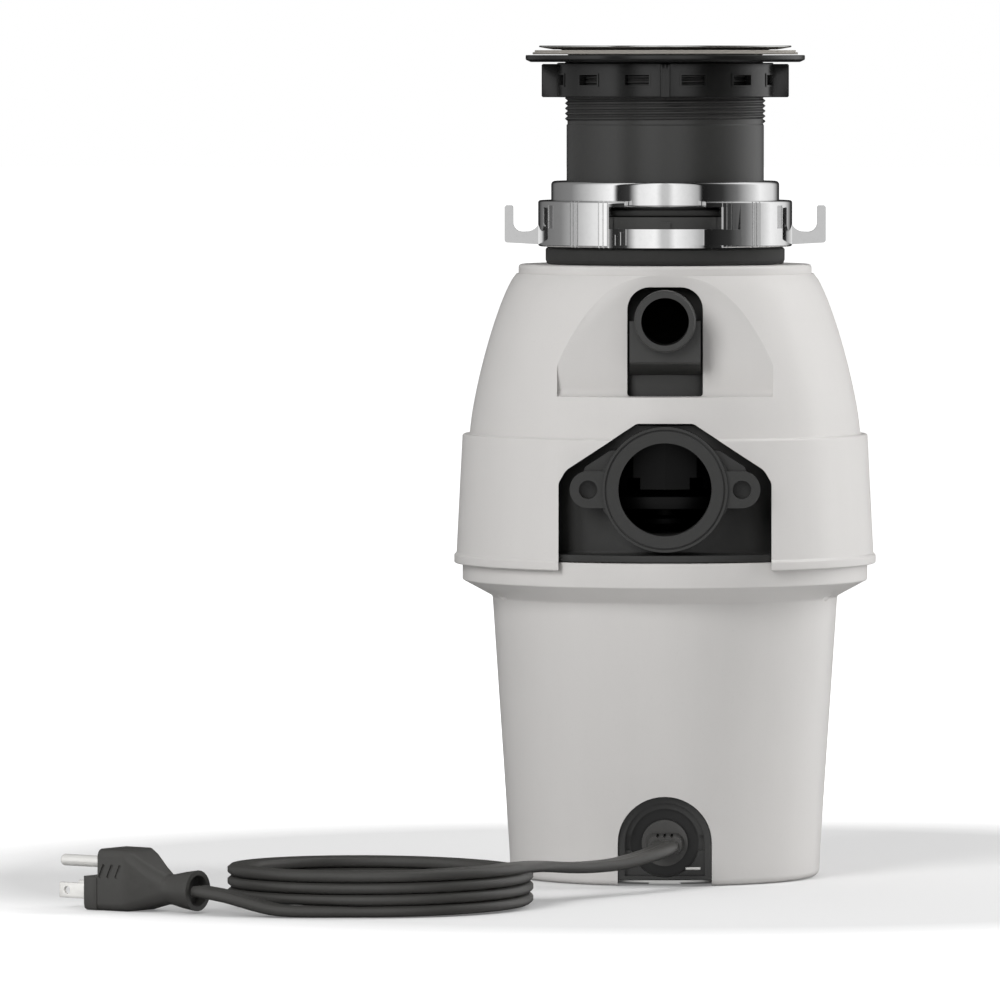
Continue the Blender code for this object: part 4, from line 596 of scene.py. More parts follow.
def edge_loop(bm, points):
    """A closed loop of edges through points."""
    verts = [bm.verts.new(point) for point in points]
    return [bm.edges.new(pair) for pair in zip(verts, verts[1:] + verts[:1])]


def skin(bm, loops):
    """Faces from each loop to the next, with both ends closed."""
    for near, far in zip(loops, loops[1:]):
        bmesh.ops.bridge_loops(bm, edges=near + far)
    for loop in (loops[0], loops[-1]):
        bmesh.ops.edgeloop_fill(bm, edges=loop)
    bmesh.ops.recalc_face_normals(bm, faces=bm.faces)
    return bm


def turned(bm, angle, axis="Z"):
    """A mesh turned about an axis through the origin."""
    turn = Matrix.Rotation(angle, 3, axis)
    bmesh.ops.rotate(bm, verts=bm.verts, cent=(0, 0, 0), matrix=turn)
    return bm


def moved(bm, offset):
    """A mesh moved by an offset."""
    bmesh.ops.translate(bm, verts=bm.verts, vec=offset)
    return bm


def placed(name, data):
    """An object of the scene that shows some data."""
    obj = bpy.data.objects.new(name, data)
    bpy.context.scene.collection.objects.link(obj)
    return obj


def solid(name, bm, finish):
    """An object from a mesh, with its finish."""
    mesh = bpy.data.meshes.new(name)
    bm.to_mesh(mesh)
    bm.free()
    obj = placed(name, mesh)
    mesh.materials.append(finish_of(finish))
    return obj


def combine(obj, operation, shapes):
    """Joins shapes to a piece, or cuts them out of it, at once."""
    tools = []
    for shape in shapes:
        tool = solid("tool", shape, SLOT_OF["hopper"])
        tool.data.materials.clear()
        tools.append(tool)
        step = obj.modifiers.new("step", "BOOLEAN")
        step.operation = operation
        step.solver = "EXACT"
        step.object = tool
    graph = bpy.context.evaluated_depsgraph_get()
    mesh = bpy.data.meshes.new_from_object(obj.evaluated_get(graph))
    obj.modifiers.clear()
    old = obj.data
    obj.data = mesh
    bpy.data.meshes.remove(old)
    for tool in tools:
        data = tool.data
        bpy.data.objects.remove(tool, do_unlink=True)
        bpy.data.meshes.remove(data)
    return obj


def cut(obj, *shapes):
    """Cuts shapes out of a piece."""
    return combine(obj, "DIFFERENCE", shapes)


def join(obj, *shapes):
    """Joins shapes to a piece."""
    return combine(obj, "UNION", shapes)


def tidy(obj, edge=0.0, angle=SMOOTH_ANGLE):
    """Welds a piece, smooths its curved faces and rounds its sharp edges."""
    mesh = obj.data
    bm = bmesh.new()
    bm.from_mesh(mesh)
    bmesh.ops.remove_doubles(bm, verts=bm.verts, dist=WELD * 5)
    bmesh.ops.dissolve_degenerate(bm, edges=bm.edges, dist=WELD * 5)
    bm.to_mesh(mesh)
    bm.free()
    mesh.polygons.foreach_set("use_smooth", [True] * len(mesh.polygons))
    mesh.set_sharp_from_angle(angle=angle)
    if edge:
        rounding = obj.modifiers.new("edges", "BEVEL")
        rounding.width = edge
        rounding.segments = 2
        rounding.limit_method = "ANGLE"
        rounding.angle_limit = angle
        rounding.use_clamp_overlap = True
        rounding.harden_normals = True
    return obj


def settle(obj, body, *nodes):
    """A finished piece rides on a body and stands for its nodes."""
    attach(obj, body)
    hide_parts(*nodes)
    return obj


def settle_extra(obj, body):
    """A finished piece that stands for no node and rides on a body."""
    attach(obj, body)


# ---- Shader maths ------------------------------------------------------------------------

class Value:
    """One output of a node, with arithmetic that adds Math nodes."""

    def __init__(self, tree, socket):
        self.tree = tree
        self.socket = socket

    def maths(self, operation, other):
        """This value and another put through a Math node."""
        node = self.tree.nodes.new("ShaderNodeMath")
        node.operation = operation
        plug_in(self.tree, node.inputs[0], self)
        plug_in(self.tree, node.inputs[1], other)
        return Value(self.tree, node.outputs[0])

    def __add__(self, other):
        return self.maths("ADD", other)

    def __sub__(self, other):
        return self.maths("SUBTRACT", other)

    def __mul__(self, other):
        return self.maths("MULTIPLY", other)

    def clamped(self, least=0.0, most=1.0):
        """This value held between two limits."""
        return self.maths("MAXIMUM", least).maths("MINIMUM", most)


def plug_in(tree, socket, value):
    """Sets a socket's own value, or links an output to it."""
    if isinstance(value, Value):
        tree.links.new(value.socket, socket)
    else:
        socket.default_value = value


class Finish:
    """A material being put together around one Principled shader."""

    def __init__(self, name, colour, roughness, metallic=0.0, **constants):
        self.material = bpy.data.materials.new(name)
        self.material.use_nodes = True
        self.tree = self.material.node_tree
        self.shader = self.tree.nodes["Principled BSDF"]
        self.colour = (*colour, 1.0)
        self.put("Base Color", self.colour)
        self.put("Roughness", roughness)
        self.put("Metallic", metallic)
        for socket, value in constants.items():
            self.put(socket.replace("_", " "), value)
        self.where = self.node("ShaderNodeTexCoord", output="Object")
        self.material.diffuse_color = self.colour

    def put(self, socket, value):
        plug_in(self.tree, self.shader.inputs[socket], value)

    def node(self, kind, settings=None, inputs=None, output=0):
        """Any other node: its type, its settings, its sockets' values or links."""
        node = self.tree.nodes.new(kind)
        for key, value in (settings or {}).items():
            if key == "stops":
                for stop, (place, shade) in zip(node.color_ramp.elements, value):
                    stop.position = place
                    stop.color = (shade, shade, shade, 1.0)
            else:
                setattr(node, key, value)
        for key, value in (inputs or {}).items():
            plug_in(self.tree, node.inputs[key], value)
        return Value(self.tree, node.outputs[output])

    def in_front_circle(self, height, radius):
        """Mask for painted shade in a round hollow: one inside a circle on the front, at a height on the
        middle, and nothing outside.
        """
        parts = self.node("ShaderNodeSeparateXYZ", None, {"Vector": self.where}).socket.node
        sideways = Value(self.tree, parts.outputs["X"])
        depth = Value(self.tree, parts.outputs["Y"])
        up = Value(self.tree, parts.outputs["Z"]) - height
        distance = (sideways * sideways + up * up).maths("POWER", 0.5)
        inside = ((distance * -1.0 + radius) * PAINTED_HOLLOW_EDGE).clamped()
        return inside * depth.maths("LESS_THAN", 0.0)

    def stretched(self, scale):
        """Object coordinates stretched by a factor on each axis."""
        return self.node("ShaderNodeMapping", None, {"Vector": self.where, "Scale": scale})

    def noise(self, scale, detail=3.0, where=None, rough=0.55):
        return self.node(
            "ShaderNodeTexNoise", None,
            {"Vector": where or self.where, "Scale": scale, "Detail": detail, "Roughness": rough},
        )

    def ramp(self, value, *stops):
        """Remaps a value between two places, with a shade at each."""
        return self.node("ShaderNodeValToRGB", {"stops": stops}, {"Fac": value})

    def tint(self, factor, other, base=None):
        """Mixes another colour over the base by a factor."""
        node = self.tree.nodes.new("ShaderNodeMix")
        node.data_type = "RGBA"
        sockets = [s for s in node.inputs if s.type == "RGBA"]
        plug_in(self.tree, node.inputs[0], factor)
        plug_in(self.tree, sockets[0], self.colour if base is None else base)
        plug_in(self.tree, sockets[1], (*other, 1.0))
        out = [s for s in node.outputs if s.type == "RGBA"][0]
        return Value(self.tree, out)

    def bump(self, height, strength, distance):
        normal = self.node(
            "ShaderNodeBump", None, {"Height": height, "Strength": strength, "Distance": distance},
            output="Normal",
        )
        self.put("Normal", normal)
        return self


def shade(colour, factor):
    """A colour made darker or lighter."""
    return tuple(min(1.0, channel * factor) for channel in colour)


def moulded(name, colour, roughness, grain, grain_depth, speckle=0.10, coat=0.0, hollow=None):
    """Moulded plastic: painted vertical sheen, faint speckle, a fine skin and painted shade in a round
    hollow.
    """
    made = Finish(name, colour, roughness, Coat_Weight=coat, Coat_Roughness=0.25)
    # painted sheen: faint vertical bands darken the colour to stand in for the plastic's reflected
    # vertical sheen
    sheen_streaks = made.noise(60.0, 4.0, made.stretched((1.0, 1.0, 0.18)))
    clouds = made.noise(18.0, 2.0)
    mixed = made.tint(made.ramp(sheen_streaks, (0.35, 0.0), (0.75, 0.35)), shade(colour, 0.93))
    paler = made.ramp(clouds, (0.40, 0.0), (0.80, speckle * 2))
    mixed = made.tint(paler, shade(colour, 1.05), mixed)
    specks = made.noise(grain * 0.5, 2.0)
    mixed = made.tint(made.ramp(specks, (0.62, 0.0), (0.78, speckle)), shade(colour, 0.75), mixed)
    # painted shade: the wall of a round hollow on the front is darkened to stand in for the shade inside
    # it
    if hollow:
        mixed = made.tint(made.in_front_circle(*hollow), shade(colour, PAINTED_HOLLOW_SHADE), mixed)
    made.put("Base Color", mixed)
    made.put("Roughness", clouds * 0.10 + (roughness - 0.05))
    skin = made.noise(grain, 3.0) + made.noise(grain * 0.35, 2.0) * 0.6
    return made.bump(skin, 0.35, grain_depth).material


def metal(name, colour, roughness, scratches=(1.0, 1.0, 1.0), scale=400.0, depth=0.00001,
          smudge=0.08, aniso=0.0, metallic=1.0):
    """Metal with fine directional marks and faint smudges."""
    made = Finish(name, colour, roughness, metallic, Anisotropic=aniso)
    marks = made.noise(scale, 5.0, made.stretched(scratches), 0.65)
    smudges = made.noise(22.0, 3.0)
    made.put("Base Color", made.tint(made.ramp(marks, (0.45, 0.0), (0.85, 0.30)), shade(colour, 0.82)))
    made.put("Roughness", made.ramp(smudges, (0.35, 0.0), (0.85, 1.0)) * smudge + roughness)
    return made.bump(marks, 0.15, depth).material


def rubber(name, colour, roughness, grain=900.0):
    """Rubber, vinyl, carbon or ferrite: matt, faintly dusty, with a soft grain."""
    made = Finish(name, colour, roughness)
    dust = made.noise(45.0, 5.0, rough=0.7)
    grime = made.noise(320.0, 3.0)
    mixed = made.tint(made.ramp(dust, (0.45, 0.0), (0.85, 0.35)), shade(colour, 1.45))
    mixed = made.tint(made.ramp(grime, (0.55, 0.0), (0.80, 0.25)), shade(colour, 0.6), mixed)
    made.put("Base Color", mixed)
    made.put("Roughness", dust * 0.12 + (roughness - 0.06))
    return made.bump(made.noise(grain, 3.0), 0.4, 0.00005).material


def fibre(name, colour):
    """Fibre gasket: mottled fibres in grey."""
    made = Finish(name, colour, 0.72)
    fibres = made.noise(700.0, 6.0, made.stretched((1.0, 1.0, 3.0)), 0.75)
    mixed = made.tint(made.ramp(fibres, (0.40, 0.0), (0.70, 0.55)), shade(colour, 0.62))
    made.put("Base Color", mixed)
    return made.bump(fibres, 0.6, 0.00008).material


def laminated(name, colour):
    """Stacked sheets: fine horizontal lines."""
    made = Finish(name, colour, 0.5, 1.0)
    lines = made.node(
        "ShaderNodeTexWave", {"wave_type": "BANDS", "bands_direction": "Z"},
        {"Vector": made.where, "Scale": 320.0, "Distortion": 0.2}, output="Fac",
    )
    made.put("Base Color", made.tint(lines, shade(colour, 0.55)))
    return made.bump(lines, 0.5, 0.00006).material


def wound(name, colour):
    """Enamelled wire: fine strands with a warm varnish."""
    made = Finish(name, colour, 0.3, 1.0, Coat_Weight=0.5)
    strands = made.node(
        "ShaderNodeTexWave", {"wave_type": "RINGS", "rings_direction": "Z"},
        {"Vector": made.where, "Scale": 260.0, "Distortion": 1.5}, output="Fac",
    )
    made.put("Base Color", made.tint(strands, shade(colour, 0.45)))
    return made.bump(strands, 0.7, 0.00015).material


def finish_of(slot_name):
    """The finish of a material slot, made the first time that it is asked for."""
    name = f"finish_{slot_name}"
    if name in bpy.data.materials:
        return bpy.data.materials[name]
    colours = bpy.context.scene.disposal_colours
    grey = tuple(colours.housing_grey)
    black = tuple(colours.moulded_black)
    cord = tuple(colours.cord_grey)
    chrome = tuple(colours.chrome_tint)
    makers = {
        "light_grey_plastic": lambda: moulded(name, grey, 0.40, 1700.0, 0.00004, 0.12, 0.10),
        "black_plastic": lambda: moulded(name, black, 0.46, 1500.0, 0.00007, 0.30),
        "red_plastic": lambda: moulded(name, (0.55, 0.03, 0.03), 0.38, 1500.0, 0.00003),
        "dark_rubber": lambda: rubber(name, (0.030, 0.030, 0.029), 0.72),
        "cord_grey": lambda: rubber(name, cord, 0.42, 1400.0),
        "carbon": lambda: rubber(name, (0.05, 0.05, 0.05), 0.55, 2500.0),
        "ferrite": lambda: rubber(name, (0.06, 0.06, 0.065), 0.60, 2000.0),
        "grey_gasket": lambda: fibre(name, tuple(colours.gasket_grey)),
        "chrome": lambda: metal(name, chrome, 0.05, smudge=0.05, depth=0.000004),
        "nickel": lambda: metal(
            name, (0.95, 0.94, 0.91), 0.24, (1.0, 1.0, 4.0), 500.0, smudge=0.06, metallic=0.35),
        "polished_steel": lambda: metal(name, (0.72, 0.73, 0.72), 0.13, (1.0, 1.0, 9.0), 350.0),
        "brushed_steel": lambda: metal(
            name, (0.55, 0.55, 0.54), 0.30, (1.0, 14.0, 1.0), 260.0, 0.00003, aniso=0.4),
        "zinc_steel": lambda: metal(name, (0.60, 0.60, 0.57), 0.28, scale=160.0, depth=0.00002),
        # near-black steel: painted shade for the pieces that sit inside the dark chamber
        "grinding_steel_painted_shade": lambda: metal(name, (0.016, 0.016, 0.016), 0.36, (1.0, 1.0, 8.0), 300.0),
        "satin_black": lambda: moulded(name, shade(black, 1.1), 0.32, 1500.0, 0.00005, 0.25),
        "gland_rubber": lambda: rubber(name, (0.075, 0.074, 0.071), 0.50),
        # painted shade: the gland's round seat in the entry plate is darkened
        "entry_black_painted_shade": lambda: moulded(
            name, shade(black, 1.1), 0.42, 1500.0, 0.00006, 0.25, hollow=(GLAND_Z, SEAT_R)),
        # painted shade: the inlet nozzle's bore is darkened
        "inlet_black_painted_shade": lambda: moulded(
            name, shade(black, 1.3), 0.40, 1500.0, 0.00006, 0.25, hollow=(INLET_Z, INLET_BORE_R)),
        "gloss_black": lambda: moulded(name, shade(black, 0.35), 0.24, 1500.0, 0.00004, 0.20),
        "cast_aluminium": lambda: metal(
            name, (0.58, 0.58, 0.57), 0.42, scale=900.0, depth=0.00012),
        "bronze": lambda: metal(name, (0.55, 0.38, 0.20), 0.34, scale=1400.0, depth=0.00005),
        "brass": lambda: metal(name, (0.78, 0.62, 0.32), 0.22, (1.0, 6.0, 1.0), 300.0),
        "lamination_steel": lambda: laminated(name, (0.30, 0.30, 0.31)),
        "copper": lambda: wound(name, (0.72, 0.36, 0.20)),
    }
    return makers[slot_name]()


# ---- Cord and plug ------------------------------------------------------------------------

def smooth_route(route, spacing):
    """Evenly spaced points on a smooth curve through a route."""
    knots = [Vector(point) for point in route]
    knots = [2 * knots[0] - knots[1]] + knots + [2 * knots[-1] - knots[-2]]
    points = [knots[1]]
    for a, b, c, d in zip(knots, knots[1:], knots[2:], knots[3:]):
        steps = max(1, round((c - b).length / spacing))
        for i in range(1, steps + 1):
            t = i / steps
            points.append(0.5 * (
                2 * b + (c - a) * t + (2 * a - 5 * b + 4 * c - d) * t ** 2
                + (3 * b - a - 3 * c + d) * t ** 3
            ))
    return points


def cord_route():
    """The cord's middle line: the lead, the coil's turns down to the floor and the tail."""
    start = Vector((0, GLAND_FRONT - GAP, GLAND_Z))
    turns = []
    angle = COIL_START
    flat_until = COIL_START - math.radians(30)
    while angle > COIL_END:
        fall = max(0.0, (flat_until - angle) / (flat_until - COIL_END))
        turns.append((
            COIL_CENTRE[0] + COIL_R * math.cos(angle), COIL_CENTRE[1] + COIL_R * math.sin(angle),
            COIL_TOP_Z + (COIL_LOW_Z - COIL_TOP_Z) * fall,
        ))
        angle -= COIL_STEP
    lead = smooth_route((start, *LEAD_ROUTE, turns[0]), CORD_T)[:-1]
    tail = smooth_route((turns[-1], *TAIL_ROUTE), CORD_T)[1:]
    return lead + [Vector(point) for point in turns] + tail


def cord_section():
    """The flat cord's outline: rounded ends and shallow ridges along its faces."""
    half_w, half_t = CORD_W / 2, CORD_T / 2
    points = []
    for side in (1, -1):
        for i in range(CORD_END_POINTS):
            angle = math.radians(-75 + 50 * i) + (0 if side > 0 else math.pi)
            points.append((
                side * (half_w - half_t) + half_t * math.cos(angle), half_t * math.sin(angle)
            ))
        steps = 4 * CORD_RIDGES
        for i in range(1, steps):
            u = 1 - 2 * i / steps
            ridge = CORD_RIDGE_H * (1 - math.cos(math.tau * CORD_RIDGES * (i / steps))) / 2
            points.append((
                side * u * (half_w - half_t), side * (half_t - CORD_RIDGE_SINK + ridge)
            ))
    return points


def make_cord():
    """The whole flat cord as one swept tube."""
    route = cord_route()
    outline = cord_section()
    bm = bmesh.new()
    loops = []
    for i, point in enumerate(route):
        ahead = (route[min(i + 1, len(route) - 1)] - route[max(i - 1, 0)]).normalized()
        across = ahead.cross(Vector((0, 0, 1))).normalized()
        upwards = across.cross(ahead)
        loops.append(edge_loop(bm, [point + across * u + upwards * v for u, v in outline]))
    cord = solid("cord", skin(bm, loops), "cord_grey")
    tidy(cord, angle=math.radians(60))
    settle(cord, "disposer", "cord_lead", "cord_coil", "cord_tail")
    length = sum((b - a).length for a, b in zip(route, route[1:]))
    return cord, route, length


def lay_plug(piece):
    """Moves a piece from the plug's own place to where the plug lies."""
    piece.data.transform(
        Matrix.Translation((*PLUG_PLACE, 0)) @ Matrix.Rotation(PLUG_TURN, 4, "Z")
    )


def plug_section(bm, x, half_w, bottom, top, corner):
    """One rounded cross-section of the plug's body."""
    outline = rounded(mirrored([(half_w, bottom, corner), (half_w, top, corner)]), steps=6)
    return edge_loop(bm, [(x, y, z) for y, z in outline])


def plug_body():
    """The plug's moulded body from its barrel to its face."""
    middle = PLUG_CORD_Z
    step_r = PLUG_BARREL_R - PLUG_BARREL_STEP
    sections = [                   # place along the plug, half width, bottom, top, corner radius
        (0.0000, PLUG_BARREL_R, middle - PLUG_BARREL_R, middle + PLUG_BARREL_R, PLUG_BARREL_R * 0.98),
        (0.0060, step_r, middle - step_r, middle + step_r, 0.0073),
        (0.0120, PLUG_NECK_R, middle - PLUG_NECK_R, middle + PLUG_NECK_R, PLUG_NECK_R * 0.98),
        (0.0145, PLUG_NECK_R, middle - PLUG_NECK_R, middle + PLUG_NECK_R, PLUG_NECK_R * 0.98),
        (0.0210, 0.0082, 0.0018, 0.0195, 0.0050),
        (0.0275, 0.0106, 0.0003, 0.0240, 0.0045),
        (0.0310, 0.0112, 0.0000, PLUG_H, 0.0036),
        (PLUG_SETBACK_X, 0.0114, 0.0000, PLUG_H, 0.0032),
        (PLUG_L, 0.0116, 0.0000, PLUG_H, 0.0030),
    ]
    bm = bmesh.new()
    return skin(bm, [plug_section(bm, *section) for section in sections])


def plug_cuts():
    """What is taken out of the plug: the set-back front, the barrel's hollow and the grips."""
    front = prism(
        rounded([(-CUT_FAR, PLUG_SHOULDER_TOP), (CUT_FAR, PLUG_SHOULDER_TOP), (CUT_FAR, CUT_FAR),
                 (-CUT_FAR, CUT_FAR)]), PLUG_SETBACK_X, PLUG_L + CUT_OVER, axis="X",
    )
    hollow = rod(
        PLUG_HOLLOW_R, -CUT_OVER, PLUG_HOLLOW_L, 0, PLUG_CORD_Z, end_radius=PLUG_HOLLOW_END_R
    )
    shapes = [front, turned(hollow, -math.pi / 2)]
    x, y, z = SLIT_PLACE
    for side in (-1, 1):
        for i in range(SLITS):
            slit = turned(box(-SLIT_CORNER, SLIT_CORNER, 0.0003), SLIT_TILT, "Y")
            shapes.append(moved(slit, (x + SLIT_SPACING * i, side * y, z)))
    return shapes


def make_plug_body():
    """The plug's body with its shoulder below the pin."""
    body = solid("plug", plug_body(), "cord_grey")
    cut(body, *plug_cuts())
    join(body, box(
        (PLUG_SETBACK_X, -PLUG_SHOULDER_HALF_W, PLUG_SHOULDER_LOW),
        (PLUG_L, PLUG_SHOULDER_HALF_W, PLUG_SHOULDER_TOP), 0.0012,
    ))
    lay_plug(body)
    tidy(body, sizes().edge_round * 1.6)
    return settle(body, "disposer", "plug_body")


def make_blade(letter, side):
    """One flat blade with its hole."""
    y = side * BLADE_Y
    blade = solid(f"blade_{letter}", box(
        (PLUG_L - CUT_OVER, y - BLADE_HALF_T, BLADE_Z - BLADE_HALF_H),
        (CONTACT_END, y + BLADE_HALF_T, BLADE_Z + BLADE_HALF_H), 0.0004,
    ), "nickel")
    cut(blade, rod(
        BLADE_HOLE_R, y - 0.002, y + 0.002, CONTACT_END - BLADE_HOLE_BACK, BLADE_Z, SCREW_SIDES
    ))
    lay_plug(blade)
    tidy(blade)
    return settle(blade, "disposer", f"plug_blade_{letter}")


def make_ground_pin():
    """The round pin above the blades."""
    length = PIN_END - PLUG_SETBACK_X
    outline = rounded([
        (0, -PIN_BURIED), (PIN_R, -PIN_BURIED), (PIN_R, length - 0.0005, 0.0023),
        (0.0002, length, 0.0002), (0, length),
    ], closed=False)
    shape = turned(lathe(outline, SCREW_SIDES, closed=False), math.pi / 2, "Y")
    pin = solid("ground_pin", moved(shape, (PLUG_SETBACK_X, 0, PIN_Z)), "nickel")
    lay_plug(pin)
    tidy(pin)
    return settle(pin, "disposer", "plug_ground_pin")


# ---- Lower housing -------------------------------------------------------------------------

def arch(radius, bottom):
    """An arch outline: straight sides under a half circle."""
    return [(radius, bottom)] + half_turn((0, ARCH_Z), radius, 0, 180) + [(-radius, bottom)]


def make_lower_housing():
    """Tapered lower shell with its rim, cord arch and two finger scallops."""
    rim_low = HOUSING_TOP - HOUSING_RIM_H
    waist = rim_low - HOUSING_SLANT_H
    wall = SHELL_WALL
    outline = rounded([
        (FOOT_BORE_R, 0), (FOOT_R - FOOT_ROUND, 0), (FOOT_R, 0.0004, FOOT_ROUND),
        (FOOT_R + 0.0004, FOOT_ROUND + 0.004), (WAIST_R, waist, 0.0016),
        (HOUSING_R, rim_low, 0.0008), (HOUSING_R, HOUSING_TOP, 0.0008),
        (HOUSING_R - wall, HOUSING_TOP, 0.0006), (HOUSING_R - wall, rim_low + wall / 2),
        (WAIST_R - wall, waist + wall / 2, 0.002), (FOOT_R - wall, FOOT_ROUND, 0.003),
        (FOOT_BORE_R, FOOT_LIP_H),
    ])
    housing = solid("lower_shell", lathe(outline), "light_grey_plastic")
    tools = [prism(arch(ARCH_R, -CUT_FAR), -HOUSING_R, ARCH_BACK)]
    for side in (-1, 1):
        scallop = bmesh.new()
        bmesh.ops.create_uvsphere(scallop, u_segments=24, v_segments=16, radius=1)
        bmesh.ops.scale(scallop, verts=scallop.verts, vec=SCALLOP_SIZE)
        moved(scallop, (WAIST_R + SCALLOP_OUT, 0, waist))
        tools.append(turned(scallop, -math.pi / 2 + side * SCALLOP_ANGLE))
    cut(housing, *tools)
    tidy(housing, sizes().edge_round)
    settle(housing, "disposer", "lower_housing")


def middle_of(node):
    """The middle of a node's box."""
    return (low(node) + high(node)) / 2


def make_base_plate():
    """Steel base plate with its pressed edge, screw holes, button window and front notch."""
    outline = rounded([
        (0, PLATE_LOW), (PLATE_R, PLATE_LOW, 0.0008), (PLATE_R, PLATE_TOP, 0.0004), (0, PLATE_TOP)
    ], closed=False)
    plate = solid("bottom_plate", lathe(outline, closed=False), "brushed_steel")
    button_r = (high("reset_button").x - low("reset_button").x) / 2
    spots = [("reset_button", button_r + BUTTON_GAP)]
    spots += [(f"base_screw_{number}", SCREW_HOLE_R) for number in (1, 2, 3)]
    tools = []
    for node, radius in spots:
        spot = middle_of(node)
        tools.append(post(radius, spot.x, spot.y, 0, PLATE_CUT_H))
    tools.append(box(
        (-KEYWAY_HALF_W, -PLATE_R - CUT_OVER, -CUT_OVER),
        (KEYWAY_HALF_W, -PLATE_R + KEYWAY_DEPTH, KEYWAY_H),
    ))
    cut(plate, *tools)
    tidy(plate, 0.0002)
    settle(plate, "disposer", "base_plate")


def make_cord_entry():
    """Black entry plate in the arch, with its round seat and side notches."""
    bottom = PLATE_TOP + GAP
    front = ENTRY_FRONT
    floor = front + ENTRY_RECESS
    # the entry plate's finish paints shade into the gland's round seat
    plate = solid("entry_plate", prism(arch(ARCH_R - GAP, bottom), front, ENTRY_BACK), "entry_black_painted_shade")
    seat_back = floor + SEAT_DEPTH
    tools = [
        prism(arch(ARCH_R - ENTRY_WALL, bottom + ENTRY_WALL / 2), front - CUT_OVER, floor),
        rod(SEAT_R, front - CUT_OVER, seat_back, 0, GLAND_Z, ROUND_SIDES // 2),
        rod(SHANK_HOLE_R, front, ENTRY_BACK + CUT_OVER, 0, GLAND_Z),
    ]
    for side in (-1, 1):
        x = side * (SEAT_R + NOTCH_OUT)
        tools.append(box(
            (x - NOTCH_HALF_W, front - CUT_OVER, GLAND_Z - NOTCH_HALF_H),
            (x + NOTCH_HALF_W, seat_back - NOTCH_STEP, GLAND_Z + NOTCH_HALF_H),
        ))
    cut(plate, *tools)
    tidy(plate, sizes().edge_round)
    settle(plate, "disposer", "cord_entry_plate")
    tab = solid("earth_tab", box(
        (TAB_LEFT, floor - TAB_BURIED, TAB_Z), (TAB_RIGHT, floor + TAB_PROUD, TAB_Z + TAB_H), 0.0002
    ), "nickel")
    tidy(tab)
    settle_extra(tab, "disposer")


def gland_nose(half_w, half_h, front, back):
    """The flat nose around the cord, wider where it meets the disc."""
    nose = prism(rounded(mirrored([
        (half_w, GLAND_Z - half_h, 0.0025), (half_w, GLAND_Z + half_h, 0.0030)
    ])), back, front)
    for vert in nose.verts:
        if vert.co.y > front + GAP:
            vert.co.x *= NOSE_FLARE_W
            vert.co.z = GLAND_Z + (vert.co.z - GLAND_Z) * NOSE_FLARE_H
    return nose


def gland_cuts(half_w, half_h, disc_front):
    """The nose's flutes above and below the cord, and the slots along its sides."""
    tools = []
    for row in (-1, 1):
        for i in range(FLUTES):
            x = (i - (FLUTES - 1) / 2) * FLUTE_SPACING
            tools.append(rod(
                FLUTE_R, GLAND_FRONT - CUT_OVER, disc_front - FLUTE_SHORT, x,
                GLAND_Z + row * (half_h + FLUTE_OUT), FLUTE_SIDES, FLUTE_END_R,
            ))
    for i in range(NOSE_SLOTS):
        y = GLAND_FRONT + NOSE_SLOT_FIRST + NOSE_SLOT_SPACING * i
        for side in (-1, 1):
            x = side * half_w
            tools.append(box(
                (x - NOSE_SLOT_DEPTH, y - NOSE_SLOT_HALF_W, GLAND_Z - NOSE_SLOT_HALF_H),
                (x + NOSE_SLOT_DEPTH, y + NOSE_SLOT_HALF_W, GLAND_Z + NOSE_SLOT_HALF_H),
            ))
    return tools


def make_gland():
    """Strain relief: a disc, a shank and a fluted flat nose around the cord."""
    front = ENTRY_FRONT + ENTRY_RECESS + SEAT_DEPTH - GAP - GLAND_DISC_H
    disc = rod(GLAND_R, front, front + GLAND_DISC_H, 0, GLAND_Z, ROUND_SIDES // 2)
    gland = solid("strain_relief", disc, "gland_rubber")
    half_w, half_h = CORD_W / 2 + NOSE_WALL, CORD_T / 2 + NOSE_WALL
    nose = gland_nose(half_w, half_h, GLAND_FRONT, front + NOSE_SINK)
    join(gland, nose, rod(SHANK_R, front + GAP, GLAND_BACK, 0, GLAND_Z))
    cut(gland, *gland_cuts(half_w, half_h, front))
    tidy(gland, sizes().edge_round * 0.6)
    settle(gland, "disposer", "cord_gland")


# ---- Upper cover ---------------------------------------------------------------------------

def shoulder(inset):
    """The cover's shoulder from its step up to its rim, moved inwards by an inset."""
    foot, top = COVER_LOW + SKIRT_H, COVER_TOP - COVER_RIM_H
    points = []
    for i in range(SHOULDER_STEPS + 1):
        u = i / SHOULDER_STEPS
        v = (1 - u ** SHOULDER_POWER) ** (1 / SHOULDER_POWER)
        drop = inset if i == SHOULDER_STEPS else 0
        radius = RIM_ROOT_R + (SHOULDER_R - RIM_ROOT_R) * v - inset
        points.append((radius, foot + (top - foot) * u - drop))
    return points


def pad_recess(inset):
    """The space in front of the flat pad, with a fillet where it meets its ledge."""
    bottom = PAD_LOW - inset
    back = PAD_Y + inset
    top = COVER_TOP - COVER_RIM_H + 0.0002
    half_w = PAD_HALF_W + inset
    outline = rounded([
        (-2 * HOUSING_R, bottom), (back, bottom, PAD_FILLET), (back, top), (-2 * HOUSING_R, top)
    ], steps=8)
    return prism(outline, -half_w, half_w, axis="X")


